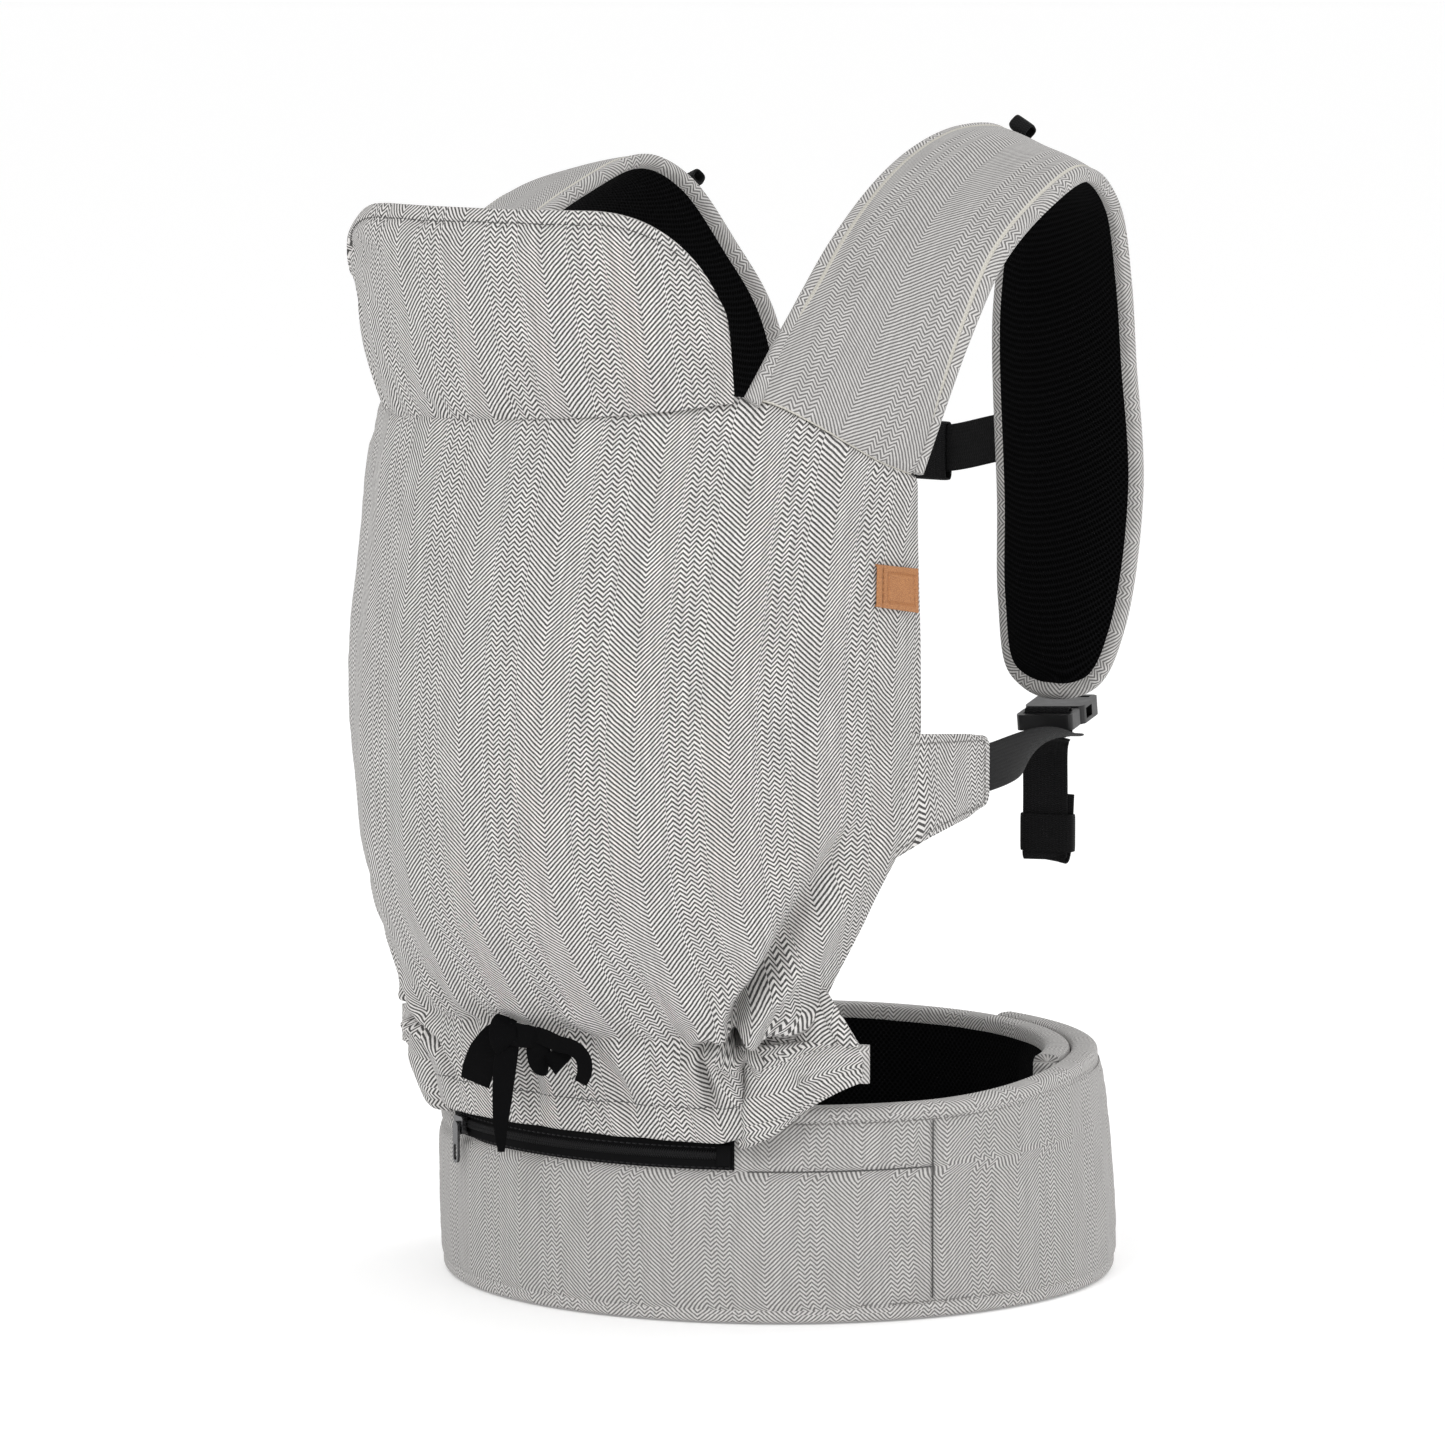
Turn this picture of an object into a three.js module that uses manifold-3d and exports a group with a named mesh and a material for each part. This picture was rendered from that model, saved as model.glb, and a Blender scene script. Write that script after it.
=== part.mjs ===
// Soft baby carrier: padded waist belt, gathered front panel with a headrest, two padded shoulder
// straps, and the webbing and side-release buckles that close it round the wearer.
// Millimetres. +Z up, -Y the outside of the front panel, +X right when facing the panel.
// The model is drawn about the centre of the waist belt's ring, then moved so that its origin is
// the middle of its bounding box, on the plane the belt rests on.

import * as THREE from 'three';
import { ParametricGeometry } from 'three/addons/geometries/ParametricGeometry.js';
import * as BufferGeometryUtils from 'three/addons/utils/BufferGeometryUtils.js';
import Module from 'manifold-3d';

const wasm = await Module();
wasm.setup();

// ---------------------------------------------------------------- driving dimensions

const GAP = 0.3; // between sewn layers

const BELT_RADIUS = 178; // outer face of the waist belt
const BELT_INNER_RADIUS = 154; // outer face of the end that tucks inside the other
const BELT_HEIGHT = 112;
const BELT_INNER_END = -250; // degrees round from the front, towards +X
const BELT_OUTER_END = 168;
const COVER = 3;
const FOAM = 7;
const LINING = 2;
const BELT_THICKNESS = COVER + FOAM + LINING + 2 * GAP;
const TOP_BINDING = 6;
const BOTTOM_BINDING = 9;

const ZIP_HALF_ANGLE = 31;
const ZIP_HEIGHT = 86.5;
const ZIP_TAPE_WIDTH = 13;
const ZIP_SLIDER_ANGLE = -28;

const PANEL_THICKNESS = 4;
const PANEL_BOTTOM = 96;
const SEAM_CORNER = 47; // degrees round the panel section where headrest meets strap
// Half-width, centre Y and depth of the panel's half-oval section at each height.
const PANEL_STATIONS = [
  [96, 113, -144, 39.5],
  [120, 119, -143, 48],
  [150, 127, -140, 60],
  [170, 134, -132, 90],
  [206, 147, -118, 131],
  [244, 158, -105, 155],
  [303, 165, -94, 170],
  [350, 165, -94, 168],
  [430, 163, -93, 152],
  [490, 158, -89, 138],
];
const SEAM_FRONT_Z = 462;
const SEAM_CORNER_Z = 478;
const SEAM_SIDE_Z = 435;

const HEADREST_TOP = 570;
const HEADREST_FLARE = 18;
const HEADREST_THICKNESS = 10;

const STRAP_THICKNESS = COVER + FOAM + LINING + 2 * GAP;
const STRAP_BINDING = 8;
// Strap edges, from the panel seam over the shoulder and down to the tip, both drawn on the right.
// The left strap slumps lower over its arch.
const STRAP_TIP = [107, 96, 302];
const RIGHT_STRAP = {
  neck: [
    [120, -183.5, 478], [114, -145, 512], [108, -94, 555], [103, -36, 589], [100.6, 18, 604], [93, 71, 599],
    [80, 92, 563], [72, 93, 502], [66, 106, 404], [67, 106, 350], [78, 101, 312], STRAP_TIP,
  ],
  outer: [
    [160, -90, 435], [180, -74, 506], [187, -55, 544], [190, -19, 571], [188, 18, 583], [178, 55, 565],
    [168, 80, 524], [160, 97, 482], [156, 110, 413], [146, 107, 338], [132, 103, 309], STRAP_TIP,
  ],
};
const LEFT_STRAP = {
  neck: [
    [120, -183.5, 478], [114, -145, 508], [108, -94, 541], [103, -36, 570], [100, 17.5, 584], [92, 41, 572],
    [82, 67, 537], [72, 88, 498], [66, 106, 407], [67, 106, 350], [78, 101, 312], STRAP_TIP,
  ],
  outer: [
    [160, -90, 435], [180, -74, 500], [187, -52, 530], [190, -15, 552], [186, 15, 562], [176, 45, 548],
    [168, 72, 515], [160, 95, 480], [156, 110, 415], [146, 107, 338], [132, 103, 309], STRAP_TIP,
  ],
};

const HOOD_LOOP_ALONG = 0.462;
const HOOD_LOOP_ACROSS = 0.1;

const WEBBING = 25;
const WEBBING_THICKNESS = 1.6;
const WAIST_WEBBING = 38;
const CHEST_Z = 444;
const CHEST_Y = 120;
const CHEST_SAG = 18;

// ---------------------------------------------------------------- materials

function finish(color, roughness, metalness = 0) {
  return new THREE.MeshStandardMaterial({ color, roughness, metalness });
}

const woven = finish(0xb8b5b2, 0.95);
const mesh = finish(0x0c0c0d, 0.9);
const foam = finish(0xd8d5cc, 1);
const webbing = finish(0x111113, 0.8);
const plastic = finish(0x0b0b0c, 0.35);
const leather = finish(0xb27a48, 0.6);
const zipTape = finish(0x0a0a0b, 0.85);
const zipMetal = finish(0x3a3b3e, 0.3, 1);
const ribbon = finish(0x0d0d0e, 0.75);

// ---------------------------------------------------------------- helpers

const vector = (x, y, z) => new THREE.Vector3(x, y, z);
const degrees = THREE.MathUtils.degToRad;
const lerp = THREE.MathUtils.lerp;
const smoothstep = THREE.MathUtils.smoothstep;

function smoothCurve(points) {
  return new THREE.CatmullRomCurve3(points.map((p) => vector(...p)), false, 'centripetal');
}

function signedVolume(geometry) {
  const position = geometry.attributes.position;
  const index = geometry.index.array;
  const corner = [vector(), vector(), vector()];
  let volume = 0;
  for (let i = 0; i < index.length; i += 3) {
    corner.forEach((v, k) => v.fromBufferAttribute(position, index[i + k]));
    volume += corner[0].dot(corner[1].cross(corner[2])) / 6;
  }
  return volume;
}

// Merge shared vertices, drop collapsed triangles and point the faces outwards.
function weld(source) {
  source.deleteAttribute('normal');
  source.deleteAttribute('uv');
  const merged = BufferGeometryUtils.mergeVertices(source, 1e-4);
  const index = merged.index.array;
  const kept = [];
  for (let i = 0; i < index.length; i += 3) {
    const [a, b, c] = [index[i], index[i + 1], index[i + 2]];
    if (a !== b && b !== c && c !== a) kept.push(a, b, c);
  }
  merged.setIndex(kept);
  if (signedVolume(merged) < 0) {
    for (let i = 0; i < kept.length; i += 3) [kept[i], kept[i + 1]] = [kept[i + 1], kept[i]];
    merged.setIndex(kept);
  }
  merged.computeVertexNormals();
  return merged;
}

function surfaceNormal(surface, s, t) {
  const step = 1e-3;
  const s0 = Math.max(s - step, 0);
  const s1 = Math.min(s + step, 1);
  const t0 = Math.max(t - step, 0);
  const t1 = Math.min(t + step, 1);
  const along = surface(s1, t).sub(surface(s0, t));
  const across = surface(s, t1).sub(surface(s, t0));
  return along.cross(across).normalize();
}

// A closed layer of cloth, foam or webbing: the patch surface(s, t), thickened between the two
// offsets along its normal, and closed by four walls. Both faces share one pattern of triangles,
// so layers stacked on the same patch nest without touching.
function layer(surface, low, high, columns, rows) {
  const place = (s, t, offset, target) => {
    target.copy(surface(s, t)).addScaledVector(surfaceNormal(surface, s, t), offset);
  };
  const face = (offset) => (s, t, target) => place(s, t, offset, target);
  const wallAlongS = (t) => (s, v, target) => place(s, t, lerp(low, high, v), target);
  const wallAlongT = (s) => (t, v, target) => place(s, t, lerp(low, high, v), target);
  const outward = [
    new ParametricGeometry(face(high), columns, rows),
    new ParametricGeometry(wallAlongS(0), columns, 1),
    new ParametricGeometry(wallAlongT(1), rows, 1),
  ];
  const inward = [
    new ParametricGeometry(face(low), columns, rows),
    new ParametricGeometry(wallAlongS(1), columns, 1),
    new ParametricGeometry(wallAlongT(0), rows, 1),
  ];
  inward.forEach((geometry) => geometry.setIndex(Array.from(geometry.index.array).reverse()));
  return weld(BufferGeometryUtils.mergeGeometries([...outward, ...inward]));
}

// Flat webbing along a path; `across(t)` is the direction of its width.
function strip(path, across, width) {
  return (s, t) => path.getPointAt(t).addScaledVector(across(t), (s - 0.5) * width);
}

function mirrored(geometry) {
  const copy = geometry.clone().applyMatrix4(new THREE.Matrix4().makeScale(-1, 1, 1));
  const index = Array.from(copy.index.array);
  for (let i = 0; i < index.length; i += 3) [index[i], index[i + 1]] = [index[i + 1], index[i]];
  copy.setIndex(index);
  copy.computeVertexNormals();
  return copy;
}

function toManifold(geometry) {
  const vertProperties = new Float32Array(geometry.attributes.position.array);
  const triVerts = new Uint32Array(geometry.index.array);
  return new wasm.Manifold(new wasm.Mesh({ numProp: 3, vertProperties, triVerts }));
}

function fromManifold(solid) {
  const result = solid.getMesh();
  const geometry = new THREE.BufferGeometry();
  geometry.setAttribute('position', new THREE.BufferAttribute(result.vertProperties, 3));
  geometry.setIndex(Array.from(result.triVerts));
  geometry.computeVertexNormals();
  return geometry;
}

function block(x0, x1, y0, y1, z0, z1) {
  const box = new THREE.BoxGeometry(x1 - x0, y1 - y0, z1 - z0);
  return weld(box.translate((x0 + x1) / 2, (y0 + y1) / 2, (z0 + z1) / 2));
}

// A plate with rounded corners, lying in XY between z0 and z1.
function plate(x0, x1, y0, y1, z0, z1, radius) {
  const shape = new THREE.Shape();
  shape.moveTo(x0 + radius, y0);
  shape.lineTo(x1 - radius, y0);
  shape.absarc(x1 - radius, y0 + radius, radius, -Math.PI / 2, 0);
  shape.absarc(x1 - radius, y1 - radius, radius, 0, Math.PI / 2);
  shape.absarc(x0 + radius, y1 - radius, radius, Math.PI / 2, Math.PI);
  shape.absarc(x0 + radius, y0 + radius, radius, Math.PI, Math.PI * 1.5);
  const solid = new THREE.ExtrudeGeometry(shape, { depth: z1 - z0, bevelEnabled: false, curveSegments: 2 });
  return weld(solid.translate(0, 0, z0));
}

function carve(body, ...cutters) {
  const subtract = (solid, cutter) => solid.subtract(toManifold(cutter));
  return fromManifold(cutters.reduce(subtract, toManifold(body)));
}

function join(...pieces) {
  return fromManifold(pieces.map(toManifold).reduce((solid, piece) => solid.add(piece)));
}

const carrier = new THREE.Group();

function add(name, geometry, material, parent = carrier) {
  const piece = new THREE.Mesh(geometry, material);
  piece.name = name;
  parent.add(piece);
  return piece;
}

// ---------------------------------------------------------------- waist belt

// Point at an angle from the front (towards +X), a radius and a height.
function polar(angle, radius, z) {
  return vector(radius * Math.sin(degrees(angle)), -radius * Math.cos(degrees(angle)), z);
}

function beltRadius(angle) {
  const tucked = 1 - smoothstep(angle, -150, -95);
  return lerp(BELT_RADIUS, BELT_INNER_RADIUS, tucked);
}

// A band of the belt between two heights and two depths inward from its outer face.
function beltBand(z0, z1, depth0, depth1, columns = 44) {
  const face = (s, t) => {
    const angle = lerp(BELT_INNER_END, BELT_OUTER_END, s);
    return polar(angle, beltRadius(angle), lerp(z0, z1, t));
  };
  return layer(face, -depth1, -depth0, columns, 1);
}

function waistBelt() {
  const z0 = BOTTOM_BINDING + GAP;
  const z1 = BELT_HEIGHT - TOP_BINDING - GAP;
  const foamFace = COVER + GAP;
  const liningFace = foamFace + FOAM + GAP;
  add('belt_cover', beltBand(z0, z1, 0, COVER), woven);
  add('belt_foam', beltBand(z0, z1, foamFace, foamFace + FOAM), foam);
  add('belt_lining', beltBand(z0, z1, liningFace, liningFace + LINING), mesh);
  add('belt_bottom_binding', beltBand(0, BOTTOM_BINDING, 0, BELT_THICKNESS), woven);
  add('belt_top_binding', beltBand(BELT_HEIGHT - TOP_BINDING, BELT_HEIGHT, 0, BELT_THICKNESS), woven);
}

// ---------------------------------------------------------------- belt pocket zip

function beltZip() {
  const arc = (angle, radius, z0, z1, low, high) => {
    const face = (s, t) => polar(lerp(-angle, angle, s), radius, lerp(z0, z1, t));
    return layer(face, low, high, 20, 1);
  };
  const tapeFace = BELT_RADIUS + GAP;
  const chainFace = tapeFace + 0.8 + GAP;
  const half = ZIP_TAPE_WIDTH / 2;
  add('zip_tape', arc(ZIP_HALF_ANGLE, tapeFace, ZIP_HEIGHT - half, ZIP_HEIGHT + half, 0, 0.8), zipTape);
  add('zip_chain', arc(ZIP_HALF_ANGLE - 1, chainFace, ZIP_HEIGHT - 2.2, ZIP_HEIGHT + 2.2, 0, 1.6), zipTape);

  // The slider straddles the chain; its local +X runs along the zip and +Z points out of the belt.
  const runner = new THREE.Group();
  runner.position.copy(polar(ZIP_SLIDER_ANGLE, chainFace, ZIP_HEIGHT));
  runner.rotation.z = degrees(ZIP_SLIDER_ANGLE);
  carrier.add(runner);
  const turned = (geometry) => geometry.rotateX(Math.PI / 2);
  const slider = carve(plate(-6, 6, -4.6, 4.6, -0.1, 4.6, 2), block(-7, 7, -2.8, 2.8, -1, 2.4));
  add('zip_slider', turned(slider), zipMetal, runner);
  const pull = carve(plate(-3.4, 3.4, -20, 2, 5, 6.4, 3), plate(-2, 2, -18.5, -10, 4, 8, 1.8));
  add('zip_pull', turned(pull), zipMetal, runner);
}

// ---------------------------------------------------------------- front panel

function panelSection(z) {
  const top = PANEL_STATIONS.length - 1;
  const next = Math.max(1, PANEL_STATIONS.findIndex((station) => station[0] >= z));
  const upper = next < 0 || next > top ? top : next;
  const [a, b] = [PANEL_STATIONS[upper - 1], PANEL_STATIONS[upper]];
  const t = THREE.MathUtils.clamp((z - a[0]) / (b[0] - a[0]), 0, 1);
  return [1, 2, 3].map((k) => lerp(a[k], b[k], t));
}

// Point on the panel at an angle round its half-oval (-90 left edge, 0 front, 90 right edge).
function panelPoint(angle, z) {
  const [halfWidth, centreY, depth] = panelSection(z);
  return vector(halfWidth * Math.sin(degrees(angle)), centreY - depth * Math.cos(degrees(angle)), z);
}

function seamHeight(angle) {
  const bend = Math.abs(angle);
  const rise = smoothstep(bend, 15, SEAM_CORNER) * (SEAM_CORNER_Z - SEAM_FRONT_Z);
  const fall = smoothstep(bend, SEAM_CORNER, 90) * (SEAM_CORNER_Z - SEAM_SIDE_Z);
  return SEAM_FRONT_Z + rise - fall;
}

function frontPanel() {
  const face = (s, t) => {
    const angle = lerp(-90, 90, s);
    return panelPoint(angle, lerp(PANEL_BOTTOM, seamHeight(angle), t));
  };
  add('front_panel', layer(face, -PANEL_THICKNESS / 2, PANEL_THICKNESS / 2, 24, 12), woven);
}

function headrest() {
  const reach = SEAM_CORNER - 3;
  const face = (s, t) => {
    const angle = lerp(-reach, reach, s);
    const side = Math.abs(angle) / reach;
    const corner = Math.max(0, (side - 0.4) / 0.6);
    const bottom = seamHeight(angle) + 1;
    const crown = lerp(bottom + 14, HEADREST_TOP, Math.sqrt(1 - corner * corner));
    const z = lerp(bottom, crown, t);
    const lift = (z - SEAM_FRONT_Z) / (HEADREST_TOP - SEAM_FRONT_Z);
    const flare = HEADREST_FLARE * lift * lift;
    const inset = 1 + HEADREST_THICKNESS / 2 - PANEL_THICKNESS / 2;
    const point = panelPoint(angle, SEAM_FRONT_Z);
    const out = vector(Math.sin(degrees(angle)), -Math.cos(degrees(angle)), 0);
    return vector(point.x, point.y, z).addScaledVector(out, flare - inset);
  };
  add('headrest', layer(face, -HEADREST_THICKNESS / 2, HEADREST_THICKNESS / 2, 18, 5), woven);
}

// ---------------------------------------------------------------- panel side pieces

function bothSides(name, geometry, material) {
  add(`${name}_right`, geometry, material);
  add(`${name}_left`, mirrored(geometry), material);
}

function sideWing() {
  const face = (s, t) => {
    const root = vector(165, -91, lerp(247, 304, s));
    const end = vector(161, -34, lerp(263, 298, s));
    return root.lerp(end, t);
  };
  bothSides('side_wing', layer(face, -1.8, 1.8, 3, 4), woven);
}

function legPad() {
  const face = (s, t) => {
    const start = vector(lerp(124, 137, s), lerp(-138, -131, s), lerp(113, 158, s));
    const end = vector(154, -124, lerp(124, 147, s));
    return start.lerp(end, t);
  };
  bothSides('leg_pad', layer(face, -4, 4, 3, 4), woven);
}

function leatherTag() {
  const face = (s, t) => panelPoint(lerp(77, 88, s), lerp(366, 391, t));
  const back = PANEL_THICKNESS / 2 + GAP;
  add('leather_tag', layer(face, back, back + 0.8, 5, 4), leather);
}

// ---------------------------------------------------------------- drawstring

function drawstring() {
  const z = 148;
  const front = panelPoint(0, z).y - PANEL_THICKNESS / 2 - 6;
  const loops = smoothCurve([
    [-36, front, z - 10], [-27, front - 4, z + 1], [-14, front - 6, z + 2], [4, front - 6, z - 1],
    [20, front - 4, z - 3], [32, front - 2, z - 8],
  ]);
  const flat = () => vector(0, 0, 1);
  add('drawstring_bow', layer(strip(loops, flat, 11), -1.2, 1.2, 2, 14), ribbon);
  const tail = smoothCurve([[-11, front - 9, z - 8], [-13, front - 7, z - 34], [-14.5, front - 5, z - 62]]);
  const level = () => vector(1, 0, 0);
  add('drawstring_tail', layer(strip(tail, level, 8), -0.6, 0.6, 2, 8), ribbon);
}

// ---------------------------------------------------------------- shoulder straps

// The strap as three patches, s across from the neck edge and t along from the panel: the whole
// ruled surface, the part inside the binding, and the binding down the neck edge, round the tip and
// back up the outer edge.
function strapShape({ neck, outer }) {
  const neckEdge = smoothCurve(neck);
  const outerEdge = smoothCurve(outer);
  const root = 0.012;
  const whole = (s, t) => neckEdge.getPointAt(t).lerp(outerEdge.getPointAt(t), s);
  const inside = (s, t) => {
    const along = lerp(root, 0.945, t);
    const width = neckEdge.getPointAt(along).distanceTo(outerEdge.getPointAt(along));
    const inset = (STRAP_BINDING + 1.2) / width;
    return whole(lerp(inset, 1 - inset, s), along);
  };
  const binding = (s, t) => {
    const along = lerp(root, 1, 1 - Math.abs(2 * t - 1));
    const [edge, other] = t < 0.5 ? [neckEdge, outerEdge] : [outerEdge, neckEdge];
    const point = edge.getPointAt(along);
    const inward = other.getPointAt(along).sub(point);
    if (inward.length() < 30) inward.lerp(whole(0.5, 0.965).sub(point), 1 - inward.length() / 30);
    return point.addScaledVector(inward.normalize(), s * STRAP_BINDING);
  };
  return { whole, inside, binding };
}

function shoulderStrap(edges, turn, suffix) {
  const { whole, inside, binding } = strapShape(edges);
  const half = STRAP_THICKNESS / 2;
  const rows = 34;
  const foamTop = half - COVER - GAP;
  const meshTop = foamTop - FOAM - GAP;
  add(`strap_cover${suffix}`, turn(layer(inside, half - COVER, half, 2, rows)), woven);
  add(`strap_foam${suffix}`, turn(layer(inside, foamTop - FOAM, foamTop, 2, rows)), foam);
  add(`strap_mesh${suffix}`, turn(layer(inside, -half, meshTop, 2, rows)), mesh);
  add(`strap_binding${suffix}`, turn(layer(binding, -half, half, 1, 76)), woven);
  add(`hood_loop${suffix}`, turn(hoodLoop(whole, half)), webbing);
}

// A small standing loop for a hood's button tab, sewn beside the neck edge behind the crest.
function hoodLoop(surface, lift) {
  const along = HOOD_LOOP_ALONG;
  const loop = new THREE.Object3D();
  const up = surfaceNormal(surface, HOOD_LOOP_ACROSS, along);
  const side = surface(0.5, along).sub(surface(HOOD_LOOP_ACROSS, along));
  orient(loop, surface(HOOD_LOOP_ACROSS, along).addScaledVector(up, lift + GAP), side, up);
  loop.updateMatrix();
  const ring = carve(block(-6, 6, -3.5, 3.5, 0, 8.5), block(-7, 7, -2, 2, 1.5, 7));
  return ring.applyMatrix4(loop.matrix);
}

// ---------------------------------------------------------------- side-release buckles

// Local axes: +X the way the plug leaves, +Y across the webbing, +Z the outer face.
function buckle(prefix, width, names) {
  const k = width / 25;
  const half = 16.5 * k;
  const group = new THREE.Group();
  const socket = carve(
    plate(-28 * k, 0, -half, half, -5, 5, 4),
    block(-18 * k, 1, -13.5 * k, 13.5 * k, -3.2, 3.2),
    block(-15 * k, -5 * k, -half - 1, half + 1, -2.9, 2.9),
    block(-25 * k, -21.5 * k, -13 * k, 13 * k, -6, 6),
  );
  const plug = carve(
    join(plate(0.5, 18 * k, -15.5 * k, 15.5 * k, -4.2, 4.2, 3), block(-14 * k, 2, -3 * k, 3 * k, -2.4, 2.4)),
    block(4.5 * k, 7.5 * k, -12.8 * k, 12.8 * k, -6, 6),
    block(11 * k, 14 * k, -12.8 * k, 12.8 * k, -6, 6),
  );
  const prong = (side) => {
    const y = [7 * k * side, 12.4 * k * side].sort((a, b) => a - b);
    return plate(-15 * k, 0.1, y[0], y[1], -2.4, 2.4, 2);
  };
  add(`${prefix}_socket${names}`, socket, plastic, group);
  add(`${prefix}_plug${names}`, plug, plastic, group);
  add(`${prefix}_prong_a${names}`, prong(1), plastic, group);
  add(`${prefix}_prong_b${names}`, prong(-1), plastic, group);
  carrier.add(group);
  return group;
}

// Turn a group so its local X and Z follow the two directions given.
function orient(group, position, alongX, nearZ) {
  const x = alongX.clone().normalize();
  const y = nearZ.clone().cross(x).normalize();
  const z = x.clone().cross(y);
  group.position.copy(position);
  group.quaternion.setFromRotationMatrix(new THREE.Matrix4().makeBasis(x, y, z));
}

// ---------------------------------------------------------------- lower shoulder webbing

function keeper(x, y, z, halfWidth, halfDepth, height) {
  const wall = 1.6;
  const sleeve = (grow, z0, z1) => block(
    x - halfWidth - grow, x + halfWidth + grow, y - halfDepth - grow, y + halfDepth + grow, z0, z1,
  );
  return carve(sleeve(wall, z, z + height), sleeve(0, z - 1, z + height + 1));
}

function shoulderWebbing(side, suffix) {
  const direction = vector(0.3 * side, -0.93, -0.12);
  const position = vector(105 * side, 103, 291.5);
  orient(buckle('shoulder', WEBBING, suffix), position, direction, vector(0, -0.12, 1));

  // From the side wing the webbing twists flat and passes under the plug.
  const path = smoothCurve([
    [160 * side, -31, 280], [155 * side, -2, 280], [143 * side, 36, 280.5], [125 * side, 82, 281],
  ]);
  const level = vector(0.95 * side, 0.3, 0);
  const across = (t) => level.clone().lerp(vector(0, 0, 1), 1 - smoothstep(t, 0, 0.7)).normalize();
  add(`shoulder_webbing${suffix}`, layer(strip(path, across, WEBBING), -0.8, 0.8, 2, 16), webbing);

  // The free end hangs from the plug, folded back on itself and held by an elastic keeper.
  const tail = new THREE.Group();
  orient(tail, vector(106.5 * side, 93, 0), level, vector(0, 0, 1));
  carrier.add(tail);
  const half = WEBBING / 2;
  add(`shoulder_tail${suffix}`, block(-half, half, -0.8, 0.8, 214, 277), webbing, tail);
  add(`tail_keeper${suffix}`, keeper(0, 0, 220, half + 0.6, 1.5, 20), webbing, tail);
}

// ---------------------------------------------------------------- chest strap

function heightAdjuster(side, suffix) {
  const x = 112 * side;
  const y = CHEST_Y + 1.5;
  const bars = carve(
    block(x - 16, x + 16, y - 3, y + 3, CHEST_Z - 18, CHEST_Z + 18),
    block(x - 17, x + 17, y - 1.6, y + 1.6, CHEST_Z - 13.2, CHEST_Z + 13.2),
  );
  add(`chest_adjuster${suffix}`, bars, plastic);
}

function chestStrap() {
  const low = CHEST_Z - CHEST_SAG;
  const buckleX = -36;
  orient(buckle('chest', WEBBING, ''), vector(buckleX, CHEST_Y + 7, low), vector(-1, 0, 0), vector(0, 1, 0));
  const tall = () => vector(0, 0, 1);
  const run = (ends) => layer(strip(smoothCurve(ends), tall, WEBBING), -0.8, 0.8, 2, 14);
  add('chest_webbing_right', run([
    [126, CHEST_Y + 1.5, CHEST_Z], [90, CHEST_Y + 1.5, CHEST_Z - 1], [56, CHEST_Y, CHEST_Z - 8],
    [24, CHEST_Y - 1, low + 3], [buckleX + 18, CHEST_Y - 1, low],
  ]), webbing);
  add('chest_webbing_left', run([
    [-126, CHEST_Y + 1.5, CHEST_Z], [-94, CHEST_Y + 1.5, CHEST_Z - 1], [-70, CHEST_Y, CHEST_Z - 9],
    [buckleX - 6, CHEST_Y - 1, low],
  ]), webbing);
  const loop = new THREE.Group();
  loop.rotation.y = Math.PI / 2;
  loop.position.set(1, CHEST_Y - 1, low + 1.2);
  add('chest_keeper', keeper(0, 0, 0, WEBBING / 2 + 2.4, 3.2, 22), webbing, loop);
  carrier.add(loop);
  heightAdjuster(1, '_right');
  heightAdjuster(-1, '_left');
}

// ---------------------------------------------------------------- waist closure

function waistClosure() {
  const z = BELT_HEIGHT / 2;
  const tall = () => vector(0, 0, 1);
  const arc = (angle0, angle1, radius0, radius1) => {
    const points = [0, 0.25, 0.5, 0.75, 1].map((t) =>
      polar(lerp(angle0, angle1, t), lerp(radius0, radius1, t), z).toArray());
    return smoothCurve(points);
  };
  const buckleAngle = 186;
  const middle = polar(buckleAngle, 176, z);
  const along = polar(buckleAngle + 90, 1, 0);
  const group = buckle('waist', WAIST_WEBBING, '');
  orient(group, middle, along, polar(buckleAngle, 1, 0));
  const right = strip(arc(150, 172, 181, 179.5), tall, WAIST_WEBBING);
  const left = strip(arc(185, 216, 163.5, 157.5), tall, WAIST_WEBBING);
  add('waist_webbing_right', layer(right, -0.8, 0.8, 2, 8), webbing);
  add('waist_webbing_left', layer(left, -0.8, 0.8, 2, 12), webbing);
  const loop = new THREE.Group();
  const loopAngle = 209;
  orient(loop, polar(loopAngle, 158.9, z), vector(0, 0, 1), polar(loopAngle, 1, 0));
  const band = carve(
    block(-WAIST_WEBBING / 2 - 3, WAIST_WEBBING / 2 + 3, -10, 10, -4, 4),
    block(-WAIST_WEBBING / 2 - 1, WAIST_WEBBING / 2 + 1, -11, 11, -2.6, 2.6),
  );
  add('waist_keeper', band, webbing, loop);
  carrier.add(loop);
}

waistBelt();
beltZip();
frontPanel();
headrest();
sideWing();
legPad();
leatherTag();
drawstring();
shoulderStrap(RIGHT_STRAP, (geometry) => geometry, '_right');
shoulderStrap(LEFT_STRAP, mirrored, '_left');
shoulderWebbing(1, '_right');
shoulderWebbing(-1, '_left');
chestStrap();
waistClosure();

const box = new THREE.Box3().setFromObject(carrier);
carrier.position.y = -(box.min.y + box.max.y) / 2;

export default carrier;
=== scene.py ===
"""Soft baby carrier: fabric, padding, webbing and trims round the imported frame."""
import math

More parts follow.
